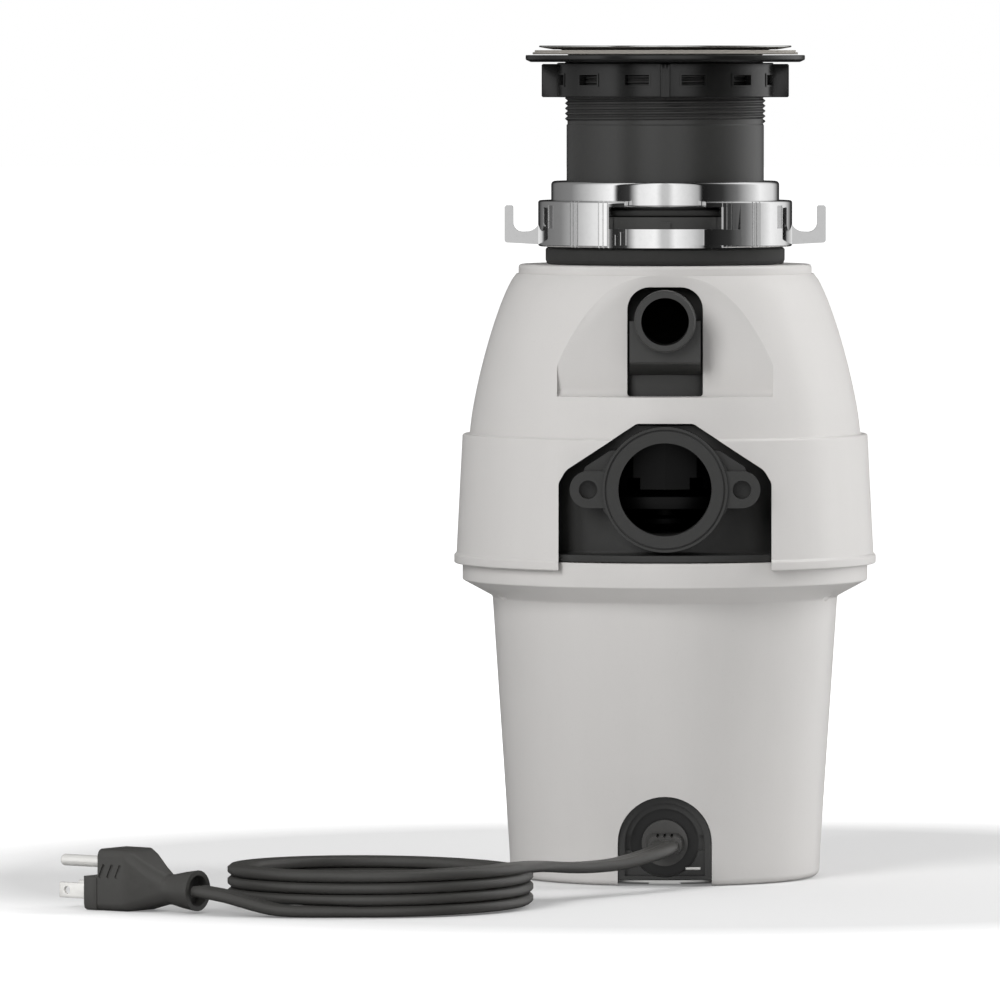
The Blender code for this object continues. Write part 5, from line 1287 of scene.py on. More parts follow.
def cover_inside():
    """The hollow of the cover."""
    foot_r = COVER_LIP_R - LIP_W - COVER_WALL
    outline = [
        (0, COVER_LOW - CUT_OVER), (foot_r, COVER_LOW - CUT_OVER),
        (foot_r, COVER_LOW + LIP_H + LIP_W),
        (SKIRT_TOP_R - COVER_WALL, COVER_LOW + SKIRT_H - COVER_WALL),
    ]
    outline += shoulder(COVER_WALL)
    outline += [(0, COVER_TOP - COVER_RIM_H - COVER_WALL)]
    inside = solid("tool", lathe(outline, closed=False), "light_grey_plastic")
    cut(inside, pad_recess(COVER_WALL))
    bm = bmesh.new()
    bm.from_mesh(inside.data)
    data = inside.data
    bpy.data.objects.remove(inside, do_unlink=True)
    bpy.data.meshes.remove(data)
    return bm


def slot_cut():
    """The upright slot for the dishwasher inlet."""
    outline = rounded(mirrored([
        (SLOT_HALF_W, PAD_LOW, SLOT_FOOT_ROUND), (SLOT_HALF_W, SLOT_TOP, SLOT_ROUND)
    ]), steps=8)
    return prism(outline, PAD_Y - CUT_FAR, PAD_Y + COVER_WALL + CUT_OVER)


def opening_cut():
    """The wide opening around the drain outlet."""
    outline = rounded(mirrored([
        (OPENING_HALF_W, COVER_LOW - CUT_OVER),
        (OPENING_HALF_W, OPENING_SIDE_Z, OPENING_EDGE_ROUND),
        (*OPENING_CORNER, OPENING_ROUND),
        (OPENING_TOP_HALF_W, OPENING_TOP, OPENING_EDGE_ROUND),
    ]), steps=6)
    return prism(outline, -2 * HOUSING_R, OPENING_BACK)


def cover_outline():
    """The cover's outer outline, from its foot up to its rim."""
    foot_r = COVER_LIP_R - LIP_W
    step_z = COVER_LOW + SKIRT_H
    outline = rounded([
        (0, COVER_LOW), (COVER_LIP_R, COVER_LOW, 0.0006), (COVER_LIP_R, COVER_LOW + LIP_H, 0.0005),
        (foot_r, COVER_LOW + LIP_H + LIP_W, 0.0005), (SKIRT_TOP_R, step_z, 0.0010),
    ], closed=False)[:-1]
    outline += rounded([
        (foot_r, COVER_LOW + LIP_H + LIP_W), (SKIRT_TOP_R, step_z, 0.0010),
        (SHOULDER_R, step_z, 0.0008), shoulder(0)[3],
    ], closed=False)[1:-1]
    outline += shoulder(0)[3:]
    outline += rounded([
        (RIM_ROOT_R, COVER_TOP - COVER_RIM_H), (COVER_RIM_R, COVER_TOP - COVER_RIM_H),
        (COVER_RIM_R, COVER_TOP, 0.0014), (0, COVER_TOP),
    ], closed=False)[1:]
    return outline


def make_upper_cover():
    """Domed cover with its flat pad, inlet slot and drain opening."""
    cover = solid("upper_shell", lathe(cover_outline(), closed=False), "light_grey_plastic")
    neck = post(NECK_R + COVER_NECK_GAP, 0, 0, COVER_TOP, COVER_NECK_CUT_H, ROUND_SIDES)
    cut(cover, pad_recess(0), cover_inside(), neck, slot_cut(), opening_cut())
    tidy(cover, sizes().edge_round)
    settle(cover, "disposer", "upper_cover")


# ---- Drain chamber and hopper -----------------------------------------------------------------

def chamber_outline():
    """The chamber's turned outline, with the hub's seat in its floor."""
    floor, wall = CHAMBER_FLOOR, CHAMBER_WALL
    foot = HOUSING_TOP + GAP
    return rounded([
        (HUB_SEAT_R, CHAMBER_LOW), (HUB_R, CHAMBER_LOW), (HUB_R, floor, 0.001),
        (CHAMBER_R - wall, floor, 0.002), (CHAMBER_R - wall, foot),
        (HOUSING_R - GAP, foot, 0.0004), (HOUSING_R - GAP, foot + wall, 0.0004),
        (CHAMBER_R, foot + wall, 0.0015), (CHAMBER_R, CHAMBER_TOP, 0.0005),
        (CHAMBER_R - wall, CHAMBER_TOP, 0.0005), (CHAMBER_R - wall, floor + wall, 0.002),
        (SHAFT_HOLE_R, floor + wall, 0.0005), (SHAFT_HOLE_R, floor), (HUB_SEAT_R, floor),
    ])


def at_outlet(points):
    """A mirrored outline around the outlet's middle, from heights above that middle."""
    return mirrored([(x, OUTLET_Z + z, corner) for x, z, corner in points])


def outlet_shapes():
    """The outlet's flange, its screw ears and what joins them to the chamber."""
    face, inside = OUTLET_FACE, CHAMBER_WALL - CHAMBER_R
    ear_front, ear_back = face + EAR_BACK, face + EAR_BACK + EAR_T
    right = half_turn((EAR_X, OUTLET_Z), EAR_R, -90, 90)
    left = half_turn((-EAR_X, OUTLET_Z), EAR_R, 90, 270)
    return (
        prism(right + left, ear_front, ear_back),
        prism(rounded(at_outlet(SADDLE)), face + SADDLE_BACK, inside),
        prism(rounded(at_outlet(EAR_FILLET)), ear_front + EAR_FILLET_BACK, ear_back),
        rod(OUTLET_FLANGE_R, face, inside, 0, OUTLET_Z, ROUND_SIDES),
    )


def chamber_cuts():
    """The outlet's seal groove and bore, the ears' screw holes and the chamber's inside."""
    face, floor = OUTLET_FACE, CHAMBER_FLOOR + CHAMBER_WALL
    groove = turned(lathe(rounded([
        (OUTLET_GROOVE_R - 0.0005, -0.002), (OUTLET_GROOVE_R + 0.0004, -0.002),
        (OUTLET_GROOVE_R + 0.0002, 0.0011), (OUTLET_GROOVE_R - 0.0005, 0.0011),
    ]), ROUND_SIDES), -math.pi / 2, "X")
    inside = lathe([
        (0, floor), (CHAMBER_R - CHAMBER_WALL, floor),
        (CHAMBER_R - CHAMBER_WALL, CHAMBER_TOP + CUT_OVER), (0, CHAMBER_TOP + CUT_OVER),
    ], closed=False)
    bore = rod(OUTLET_BORE_R, face - CUT_OVER, OUTLET_BORE_BACK, 0, OUTLET_Z, ROUND_SIDES)
    holes = [
        rod(EAR_HOLE_R, face - CUT_OVER, face + EAR_T + EAR_BACK - EAR_HOLE_FLOOR, side * EAR_X, OUTLET_Z)
        for side in (-1, 1)
    ]
    return [moved(groove, (0, face, OUTLET_Z)), inside, bore, *holes]


def make_drain_chamber():
    """Drain chamber with its outlet flange, seal groove and two screw ears."""
    chamber = solid("drain_housing", lathe(chamber_outline()), "black_plastic")
    join(chamber, *outlet_shapes())
    cut(chamber, *chamber_cuts())
    tidy(chamber, sizes().edge_round * 1.3)
    settle(chamber, "disposer", "drain_chamber")


def quarter(outer, inner, bottom, top, steps=16):
    """Points of a quarter ellipse from a wide foot up to a narrow top."""
    return [
        (inner + (outer - inner) * math.cos(math.pi / 2 * i / steps),
         bottom + (top - bottom) * math.sin(math.pi / 2 * i / steps))
        for i in range(steps + 1)
    ]


def hopper_outline():
    """The hopper's turned outline: a flange, a body, a dome and a lipped neck."""
    flange_top = HOPPER_LOW + HOPPER_FLANGE_T
    lip_low = NECK_TOP - NECK_LIP_H
    inner_r = HOPPER_BODY_R - HOPPER_WALL
    outline = [
        (inner_r, HOPPER_LOW), (CHAMBER_R, HOPPER_LOW), (CHAMBER_R, flange_top),
        (HOPPER_BODY_R, flange_top),
    ]
    outline += quarter(HOPPER_BODY_R, NECK_R, HOPPER_SHOULDER_Z, HOPPER_DOME_Z)
    outline += [
        (NECK_R, lip_low), (NECK_LIP_R, lip_low), (NECK_LIP_R, NECK_TOP), (NECK_BORE_R, NECK_TOP)
    ]
    outline += reversed(quarter(
        inner_r, NECK_BORE_R, HOPPER_SHOULDER_Z - HOPPER_WALL, HOPPER_DOME_Z - HOPPER_WALL
    ))
    return outline


def inlet_shapes():
    """The dishwasher inlet's tube, its rounded lip, the rib below it and the neck's front tab."""
    front, back = INLET_FACE, -NECK_BORE_R
    nozzle = rod(
        INLET_R, front + INLET_LIP_L - INLET_LIP_OVERLAP, back, 0, INLET_Z, ROUND_SIDES
    )
    half = INLET_LIP_L / 2
    lip = rod(INLET_R, -half, half, 0, 0, ROUND_SIDES, INLET_R - INLET_LIP_ROUND)
    lip = moved(turned(lip, math.pi), (0, front + half, INLET_Z))
    rib_front = front + RIB_BACK
    rib = prism([
        (back, INLET_Z), (rib_front, INLET_Z), (rib_front, RIB_LOW + RIB_CHAMFER_H),
        (rib_front + RIB_CHAMFER_W, RIB_LOW), (-HOPPER_BODY_R, RIB_FOOT), (back, RIB_FOOT),
    ], -RIB_HALF_W, RIB_HALF_W, axis="X")
    tab = box(
        (-NECK_TAB_HALF_W, -NECK_LIP_R - NECK_TAB_OUT, NECK_TOP - NECK_LIP_H + NECK_TAB_LOW),
        (NECK_TAB_HALF_W, -NECK_R, NECK_TOP - NECK_TAB_HIGH),
    )
    return nozzle, lip, rib, tab


def make_hopper():
    """Domed hopper with its neck and the dishwasher inlet."""
    # the hopper's finish paints shade into the inlet nozzle's bore
    hopper = solid("hopper_body", lathe(hopper_outline()), "inlet_black_painted_shade")
    join(hopper, *inlet_shapes())
    tools = [rod(
        INLET_BORE_R, INLET_FACE - CUT_OVER, -NECK_BORE_R + CUT_FAR, 0, INLET_Z, ROUND_SIDES
    )]
    for number in (1, 2, 3, 4):
        screw = middle_of(f"chamber_screw_{number}")
        tools.append(post(
            SCREW_BORE_R, screw.x, screw.y, HOPPER_LOW + SCREW_BORE_Z, SCREW_BORE_H, SCREW_SIDES
        ))
    cut(hopper, *tools)
    tidy(hopper, sizes().edge_round)
    settle(hopper, "disposer", "hopper", "hopper_neck", "inlet_nozzle")


def make_turntable():
    """Grinding plate with its rim, hub, slinger and drain holes."""
    top, under = TABLE_TOP, TABLE_TOP - TABLE_T
    foot_top = TABLE_LOW + TABLE_T
    rim_r = TABLE_R - TABLE_RIM_W
    # near-black steel finish: painted shade for the plate inside the dark chamber
    table = solid("grinding_plate", lathe(rounded([
        (TABLE_BORE_R, TABLE_LOW), (TABLE_FOOT_R, TABLE_LOW, 0.0005),
        (TABLE_FOOT_R, foot_top, 0.0005), (TABLE_HUB_R, foot_top, 0.001),
        (TABLE_HUB_R, under, 0.001), (rim_r, under, 0.001), (rim_r, under - TABLE_T, 0.0004),
        (TABLE_R, under - TABLE_T, 0.0004), (TABLE_R, top, 0.0010), (TABLE_BORE_R, top),
    ])), "grinding_steel_painted_shade")
    tools = []
    for i in range(TABLE_HOLES):
        hole = post(TABLE_HOLE_R, TABLE_HOLE_PLACE_R, 0, top, TABLE_HOLE_CUT_H, SCREW_SIDES)
        tools.append(turned(hole, math.tau * (i + 0.5) / TABLE_HOLES))
    cut(table, *tools)
    tidy(table, 0.0002)
    settle(table, "rotor", "turntable")


# ---- Sink mount -----------------------------------------------------------------------------

def turned_piece(name, node, body, outline, finish, edge=0.0):
    """A plain turned piece that stands for one node."""
    piece = solid(name, lathe(rounded(outline)), finish)
    tidy(piece, edge)
    return settle(piece, body, node)


def make_cushions():
    """The cushion under the lock ring and the gasket on the neck."""
    low_z, high_z = low("cushion_collar").z, high("cushion_collar").z
    turned_piece("cushion", "cushion_collar", "disposer", [
        (COLLAR_BORE_R, low_z), (COLLAR_R - COLLAR_STEP, low_z, 0.0006),
        (COLLAR_R, low_z + COLLAR_STEP_H, 0.0006), (COLLAR_R, high_z - COLLAR_TOP_STEP_H, 0.0006),
        (COLLAR_R - COLLAR_TOP_STEP, high_z, 0.0004), (COLLAR_BORE_R, high_z),
    ], "dark_rubber")
    low_z, high_z = low("throat_gasket").z, high("throat_gasket").z
    turned_piece("neck_seal", "throat_gasket", "disposer", [
        (SLEEVE_R + GAP, low_z, 0.0005), (NECK_R - GAP, low_z, 0.0008),
        (NECK_R - GAP, high_z, 0.0008), (SLEEVE_R + GAP, high_z, 0.0005),
    ], "dark_rubber")


def make_upper_ring():
    """Fixed mounting ring with three lugs that carry the lock ring."""
    low_z = LOCK_LOW + UPPER_RING_LOW
    outline = rounded([
        (SLEEVE_R + GAP, low_z), (RING_R, low_z, 0.0010), (RING_R, RING_TOP, 0.0016),
        (SLEEVE_R + GAP, RING_TOP, 0.0006),
    ])
    ring = solid("mounting_ring", lathe(outline), "chrome")
    lug_top = LOCK_GROOVE_TOP - GAP
    lugs = []
    for i in range(LUG_COUNT):
        lug = box(
            (NECK_R - GAP, -LUG_HALF_W, lug_top - LUG_T),
            (LOCK_GROOVE_R - LUG_SHORT, LUG_HALF_W, lug_top),
        )
        lugs.append(turned(lug, math.pi / 2 + math.tau * i / LUG_COUNT))
    join(ring, *lugs)
    tidy(ring, 0.0003)
    settle(ring, "disposer", "upper_ring")


def hook_outline(side):
    """A J-shaped hook: an upright arm, a floor and a flared root at the ring."""
    base, top = LOCK_LOW, LOCK_LOW + HOOK_TOP
    inner = HOOK_REACH - HOOK_ARM_W
    floor = base + HOOK_FLOOR
    root = LOCK_R - 0.0015
    flare = HOOK_CURVE + HOOK_FLARE
    points = [(root, base + HOOK_BASE / 2)]
    points += half_turn(
        (HOOK_REACH - HOOK_ROUND, base + HOOK_BASE + HOOK_ROUND), HOOK_ROUND, -90, 0, 5)
    points += [(HOOK_REACH, top - HOOK_CHAMFER), (HOOK_REACH - HOOK_CHAMFER, top)]
    points += [(inner + HOOK_CHAMFER, top), (inner, top - HOOK_CHAMFER)]
    points += half_turn((inner - HOOK_CURVE, floor + HOOK_CURVE), HOOK_CURVE, 0, -90, 10)
    points += half_turn(
        (LOCK_R + HOOK_CURVE + HOOK_ROUND, floor + flare), flare, -100, -172, 8)
    points += [(LOCK_R - 0.0002, floor + HOOK_ROOT_H), (root, floor + HOOK_ROOT_H)]
    outline = [(side * x, z) for x, z in points]
    return outline if side > 0 else list(reversed(outline))


def wall_part(inner, outer, bottom, top, start, span):
    """Part of a round wall between two angles, measured from the front."""
    outline = [(inner, bottom), (outer, bottom), (outer, top), (inner, top)]
    steps = max(2, round(ROUND_SIDES * span / math.tau))
    return lathe(outline, steps, start=start - math.pi / 2, span=span)


def lock_outline():
    """The lock ring's turned outline, with the groove for the upper ring's lugs."""
    foot_r, groove_low = LOCK_FOOT_BORE_R, LOCK_GROOVE_TOP - LOCK_GROOVE_H
    lip_top = LOCK_LOW + LOCK_LIP_H
    return rounded([
        (foot_r, LOCK_LOW), (LOCK_R, LOCK_LOW, 0.0010), (LOCK_R, LOCK_TOP, 0.0010),
        (LOCK_BORE_R, LOCK_TOP, 0.0004), (LOCK_BORE_R, LOCK_GROOVE_TOP),
        (LOCK_GROOVE_R, LOCK_GROOVE_TOP), (LOCK_GROOVE_R, groove_low), (LOCK_BORE_R, groove_low),
        (LOCK_BORE_R, lip_top), (foot_r, lip_top),
    ])


def lock_cuts():
    """The lock ring's front window, its two pockets and the flutes in its wall."""
    base, over_r, over_top = LOCK_LOW, LOCK_R + CUT_OVER, LOCK_TOP + CUT_OVER
    window = (-WINDOW_ANGLE, 2 * WINDOW_ANGLE)
    bore_r, tab_low = LOCK_BORE_R - 0.0001, base + TAB_LOW
    tools = [
        wall_part(bore_r, over_r, base + RAMP_H, tab_low, *window),
        wall_part(bore_r, over_r, tab_low - CUT_OVER, over_top, -WINDOW_TOP_ANGLE,
                  2 * WINDOW_TOP_ANGLE),
        wall_part(LOCK_R - 0.0008, over_r, base - CUT_OVER, base + RAMP_H + CUT_OVER, *window),
    ]
    for side in (-1, 1):
        start = side * (math.pi / 2 - POCKET_ANGLE) - POCKET_SPAN / 2
        tools.append(wall_part(
            LOCK_R - POCKET_DEPTH, over_r, base + POCKET_LOW, base + POCKET_TOP, start, POCKET_SPAN
        ))
        for place in (RIB_ANGLE, WINDOW_ANGLE + LOCK_GROOVE_ANGLE):
            for offset in (-1, 0, 1):
                start = side * place + (offset * LOCK_RIB_SPACING - LOCK_FLUTE_W / 2) / LOCK_R
                tools.append(wall_part(
                    LOCK_R - LOCK_FLUTE_DEPTH, over_r, base - CUT_OVER, over_top, start,
                    LOCK_FLUTE_W / LOCK_R,
                ))
    return tools


def ramp_parts():
    """The stepped ramp below the front window."""
    low_z, top = LOCK_LOW + RAMP_LOW, LOCK_LOW + RAMP_H
    sunk_r = LOCK_R - RAMP_SINK
    parts = [
        wall_part(sunk_r, LOCK_R - 0.0001, low_z, top, -RAMP_START_ANGLE,
                  RAMP_START_ANGLE + WINDOW_ANGLE + 0.01),
        wall_part(LOCK_R - 0.0004, LOCK_R + 0.0007, low_z, top - 0.0002,
                  WINDOW_ANGLE - RAMP_OVERLAP_ANGLE,
                  RAMP_END_ANGLE - WINDOW_ANGLE + RAMP_OVERLAP_ANGLE),
    ]
    for i in range(RAMP_STEPS):
        drop = RAMP_STEP_DROP * (RAMP_STEPS - 1 - i)
        start = -RAMP_START_ANGLE - 0.008 + RAMP_STEP_ANGLE * i
        parts.append(wall_part(
            sunk_r, LOCK_R + 0.0003 + 0.0001 * i, low_z, top - drop, start, RAMP_STEP_SPAN
        ))
    return parts


def make_lock_ring():
    """Turning lock ring: two ribbed panels, a front window, a ramp and two hooks."""
    lock = solid("lock_ring_body", lathe(lock_outline()), "chrome")
    cut(lock, *lock_cuts())
    parts = ramp_parts()
    for side in (-1, 1):
        for offset in (-0.5, 0.5):
            start = side * RIB_ANGLE + (offset * LOCK_RIB_SPACING - LOCK_RIB_W / 2) / LOCK_R
            parts.append(wall_part(
                LOCK_R - LOCK_RIB_SINK, LOCK_R + LOCK_RIB_PROUD, LOCK_LOW + LOCK_RIB_MARGIN,
                LOCK_TOP - LOCK_RIB_MARGIN, start, LOCK_RIB_W / LOCK_R,
            ))
        parts.append(prism(hook_outline(side), -HOOK_T / 2, HOOK_T / 2))
    join(lock, *parts)
    tidy(lock, 0.00035)
    settle(lock, "lock_ring", "lock_ring")


def thread(low_z, high_z, pitch, crest, root):
    """A helical ridge between two heights."""
    turns = (high_z - low_z) / pitch
    steps = round(turns * 96)
    bm = bmesh.new()
    half = pitch * 0.46
    outline = [(root - 0.0006, -half), (root, -half), (crest - 0.0001, -0.00018),
               (crest - 0.0001, 0.00018), (root, half), (root - 0.0006, half)]
    verts = [bm.verts.new((r, 0, low_z + z)) for r, z in outline]
    edges = [bm.edges.new(pair) for pair in zip(verts, verts[1:] + verts[:1])]
    bmesh.ops.spin(
        bm, geom=verts + edges, cent=(0, 0, 0), axis=(0, 0, 1), angle=turns * math.tau, steps=steps,
        dvec=(0, 0, (high_z - low_z) / steps),
    )
    bmesh.ops.holes_fill(bm, edges=bm.edges, sides=0)
    bmesh.ops.recalc_face_normals(bm, faces=bm.faces)
    return bm


def make_sleeve():
    """Threaded sleeve: a smooth tube with a helical thread at its top."""
    thread_low = SLEEVE_TOP - THREAD_LENGTH
    outline = rounded([
        (SLEEVE_BORE_R, SLEEVE_LOW, 0.0004), (SLEEVE_R, SLEEVE_LOW, 0.0006),
        (SLEEVE_R, thread_low - 0.0006, 0.0003), (THREAD_ROOT_R, thread_low, 0.0003),
        (THREAD_ROOT_R, SLEEVE_TOP, 0.0005), (SLEEVE_BORE_R, SLEEVE_TOP, 0.0005),
    ])
    sleeve = solid("sleeve", lathe(outline), "satin_black")
    tidy(sleeve)
    settle(sleeve, "disposer", "threaded_sleeve")
    pitch = sizes().thread_pitch
    ridge = solid("sleeve_thread", thread(
        thread_low + pitch / 2, SLEEVE_TOP - pitch / 2, pitch, THREAD_R, THREAD_ROOT_R
    ), "satin_black")
    tidy(ridge)
    settle_extra(ridge, "disposer")


def nut_lug(turn):
    """One wrench lug with its three fins, turned to its place."""
    half_w, base = NUT_LUG_W / 2, NUT_LOW
    shapes = [box((NUT_R - CUT_OVER, -half_w, base), (NUT_REACH, half_w, base + NUT_LUG_H), 0.0004)]
    for k in (-1, 0, 1):
        y = k * NUT_FIN_SPACING
        shapes.append(box(
            (NUT_REACH - CUT_OVER, y - NUT_FIN_HALF_W, base + NUT_FIN_MARGIN),
            (NUT_REACH + NUT_FIN_PROUD, y + NUT_FIN_HALF_W, base + NUT_LUG_H - NUT_FIN_MARGIN),
        ))
    return [turned(shape, turn) for shape in shapes]


def make_mounting_nut():
    """Ring nut with windows in its wall and four ribbed wrench lugs."""
    base, top = NUT_LOW, NUT_TOP
    nut = solid("ring_nut", lathe(rounded([
        (NUT_BORE_R, base, 0.0003), (NUT_R, base, 0.0006), (NUT_R, top, 0.0006),
        (NUT_BORE_R, top, 0.0003),
    ])), "gloss_black")
    join(nut, *(shape for i in range(NUT_LUGS) for shape in nut_lug(math.tau * i / NUT_LUGS)))
    frames, tools = [], []
    width = NUT_WINDOW_W / NUT_R
    low_z, high_z = base + NUT_WINDOW_Z, base + NUT_WINDOW_Z + NUT_WINDOW_H
    for i in range(sizes().nut_windows):
        start = math.tau * (i + 0.5) / sizes().nut_windows - width / 2
        frames.append(wall_part(
            NUT_R - CUT_OVER, NUT_R + NUT_FRAME_PROUD, low_z - NUT_FRAME_W, high_z + NUT_FRAME_W,
            start - NUT_FRAME_ANGLE, width + 2 * NUT_FRAME_ANGLE,
        ))
        tools.append(wall_part(NUT_BORE_R - CUT_OVER, NUT_R + CUT_OVER, low_z, high_z, start, width))
    join(nut, *frames)
    cut(nut, *tools)
    tidy(nut, 0.00018)
    settle(nut, "mounting_nut", "mounting_nut")


def make_sink_clamp():
    """Support flange, fibre gasket and sink flange."""
    turned_piece("support_ring", "support_flange", "support_flange", [
        (CLAMP_BORE_R, SUPPORT_LOW, 0.0003), (SUPPORT_R - 0.0022, SUPPORT_LOW, 0.0008),
        (SUPPORT_R, SUPPORT_LOW + 0.0010, 0.0008), (SUPPORT_R, SUPPORT_TOP, 0.0005),
        (SUPPORT_R - 0.0012, SUPPORT_TOP, 0.0003), (CLAMP_BORE_R, SUPPORT_TOP, 0.0003),
    ], "gloss_black")
    turned_piece("fibre_ring", "sink_gasket", "support_flange", [
        (CLAMP_BORE_R, GASKET_LOW), (GASKET_R, GASKET_LOW, 0.0003),
        (GASKET_R, GASKET_LOW + 0.0009, 0.0003), (GASKET_R - 0.0009, GASKET_LOW + 0.0010),
        (GASKET_R - 0.0009, GASKET_TOP, 0.0003), (CLAMP_BORE_R, GASKET_TOP),
    ], "grey_gasket")
    inner = SINK_NECK_R - SINK_WALL
    bend = RIM_LOW - 0.004
    turned_piece("sink_rim", "sink_flange", "disposer", [
        (inner - 0.0015, THROAT_LOW, 0.0003), (SINK_NECK_R, THROAT_LOW, 0.0010),
        (SINK_NECK_R, bend, 0.004), (CLAMP_BORE_R, RIM_LOW, 0.003),
        (GASKET_R - 0.009, RIM_LOW, 0.002), (RIM_R - 0.0028, RIM_TOP - 0.0012, 0.001),
        (RIM_R, RIM_TOP - 0.0007, 0.0003), (RIM_R, RIM_TOP, 0.0003),
        (RIM_R - 0.0028, RIM_TOP - 0.0002, 0.002), (0.0430, RIM_LOW + SINK_WALL, 0.004),
        (inner, bend, 0.004), (inner, THROAT_LOW + SINK_WALL, 0.0003),
        (inner - 0.0015, THROAT_LOW + SINK_WALL, 0.0003),
    ], "polished_steel")


def make_splash_guard():
    """Rubber guard: a cup whose dished floor is slit into petals."""
    wall = GUARD_WALL
    inner = GUARD_R - wall
    guard = solid("splash_cup", lathe(rounded([
        (GUARD_HOLE_R, GUARD_LOW + 0.0002, 0.0005), (GUARD_R, GUARD_LOW, 0.0012),
        (GUARD_R, GUARD_TOP, 0.0006), (inner, GUARD_TOP, 0.0006), (inner, GUARD_LOW + wall, 0.0020),
        (GUARD_HOLE_R, GUARD_LOW + wall * 0.7, 0.0004),
    ])), "dark_rubber")
    slits = []
    for i in range(GUARD_SLITS):
        slit = box(
            (GUARD_HOLE_R - GUARD_SLIT_IN, -GUARD_SLIT_HALF_W, GUARD_LOW - CUT_OVER),
            (inner - GUARD_SLIT_OUT, GUARD_SLIT_HALF_W, GUARD_LOW + GUARD_SLIT_OUT),
        )
        slits.append(turned(slit, math.tau * i / GUARD_SLITS))
    cut(guard, *slits)
    ribs = []
    for k in range(GUARD_RIBS):
        z = GUARD_LOW + GUARD_RIB_LOW + GUARD_RIB_SPACING * k
        crest = inner + GUARD_RIB_PROUD
        ribs.append(lathe([
            (inner - GUARD_RIB_SINK, z), (crest, z - GUARD_RIB_HALF_W), (crest, z + GUARD_RIB_HALF_W)
        ]))
    join(guard, *ribs)
    tidy(guard, 0.0002)
    settle(guard, "splash_guard", "splash_guard")


# ---- Carried-over nodes and studio -------------------------------------------------------------

def finish_carried_nodes():
    """Gives every node that still shows its own finish."""
    for name, node in frame["nodes"].items():
        # steel pieces inside the chamber get a near-black finish, a painted shade
        material = finish_of(PAINTED_SHADE_FINISH_OF.get(name, SLOT_OF[name]))
        if not node.material_slots:
            node.data.materials.append(material)
        for slot_in in node.material_slots:
            slot_in.material = material


def studio_material():
    """The floor's faintly mottled surface, lifted towards white where it is looked at."""
    made = Finish("floor_white", FLOOR_COLOUR, 0.9)
    clouds = made.noise(1.5, 2.0)
    made.put("Base Color", made.tint(clouds * 0.10, shade(FLOOR_COLOUR, 0.985)))
    made.put("Emission Color", (1.0, 1.0, 1.0, 1.0))
    made.put("Specular IOR Level", 0.0)
    looked_at = made.node("ShaderNodeLightPath", output="Is Camera Ray")
    distance = made.node(
        "ShaderNodeVectorMath", {"operation": "LENGTH"}, {"Vector": made.where}, output="Value"
    )
    far = ((distance - FLOOR_NEAR_R) * (1 / (FLOOR_FAR_R - FLOOR_NEAR_R))).clamped()
    glow = far * (FLOOR_FAR_GLOW - FLOOR_GLOW) + FLOOR_GLOW
    made.put("Emission Strength", looked_at * glow)
    return made.material


def make_floor():
    """A plain pale floor."""
    bm = bmesh.new()
    bmesh.ops.create_grid(bm, x_segments=2, y_segments=2, size=FLOOR_SIZE)
    mesh = bpy.data.meshes.new("floor")
    bm.to_mesh(mesh)
    bm.free()
    floor = placed("floor", mesh)
    mesh.materials.append(studio_material())
    floor.visible_glossy = False


def area_light(name, place, width, height, power):
    """A soft rectangular light that faces the disposal."""
    data = bpy.data.lights.new(name, "AREA")
    data.shape = "RECTANGLE"
    data.size = width
    data.size_y = height
    data.energy = power
    lamp = placed(name, data)
    lamp.location = place
    lamp.visible_glossy = False
    lamp.rotation_euler = (Vector(LIGHT_AIM) - Vector(place)).to_track_quat("-Z", "Y").to_euler()


def world_node(tree, kind, **links):
    """A world node with its sockets linked or set."""
    node = tree.nodes.new(kind)
    for key, value in links.items():
        plug_in(tree, node.inputs[key], value)
    return node


def make_world():
    """White to the camera, an even room for soft light, and bright panels for polished metal."""
    world = bpy.data.worlds.new("studio")
    world.use_nodes = True
    tree = world.node_tree
    tree.nodes.clear()
    place = tree.nodes.new("ShaderNodeTexCoord")
    parts = world_node(tree, "ShaderNodeSeparateXYZ", Vector=Value(tree, place.outputs["Generated"]))
    height = Value(tree, parts.outputs["Z"])
    above = (height - ROOM_FLOOR_LOW) * (1 / (ROOM_FLOOR_HIGH - ROOM_FLOOR_LOW))
    above = above.clamped(ROOM_BELOW)
    sideways, depth = Value(tree, parts.outputs["X"]), Value(tree, parts.outputs["Y"])
    around = sideways.maths("ARCTAN2", depth * -1.0) * (0.5 / math.pi) + 0.5
    ramp = world_node(tree, "ShaderNodeValToRGB", Fac=around).color_ramp
    bands = tree.nodes[-1]
    while len(ramp.elements) < len(ROOM_BANDS):
        ramp.elements.new(1.0)
    for stop, (degrees, level) in zip(ramp.elements, ROOM_BANDS):
        stop.position = degrees / 360 + 0.5
        stop.color = (level, level, level, 1.0)
    panels = world_node(tree, "ShaderNodeBackground", Color=Value(tree, bands.outputs[0]))
    plug_in(tree, panels.inputs["Strength"], above * PANEL_STRENGTH)
    room = world_node(tree, "ShaderNodeBackground", Color=(1, 1, 1, 1), Strength=ROOM_STRENGTH)
    seen = world_node(tree, "ShaderNodeBackground", Color=(1, 1, 1, 1), Strength=1.0)
    path = tree.nodes.new("ShaderNodeLightPath")
    glossy = tree.nodes.new("ShaderNodeMixShader")
    direct = tree.nodes.new("ShaderNodeMixShader")
    out = tree.nodes.new("ShaderNodeOutputWorld")
    for mix, factor, first, second in (
        (glossy, "Is Glossy Ray", room, panels), (direct, "Is Camera Ray", glossy, seen)
    ):
        tree.links.new(path.outputs[factor], mix.inputs[0])
        tree.links.new(first.outputs[0], mix.inputs[1])
        tree.links.new(second.outputs[0], mix.inputs[2])
    tree.links.new(direct.outputs[0], out.inputs[0])
    bpy.context.scene.world = world


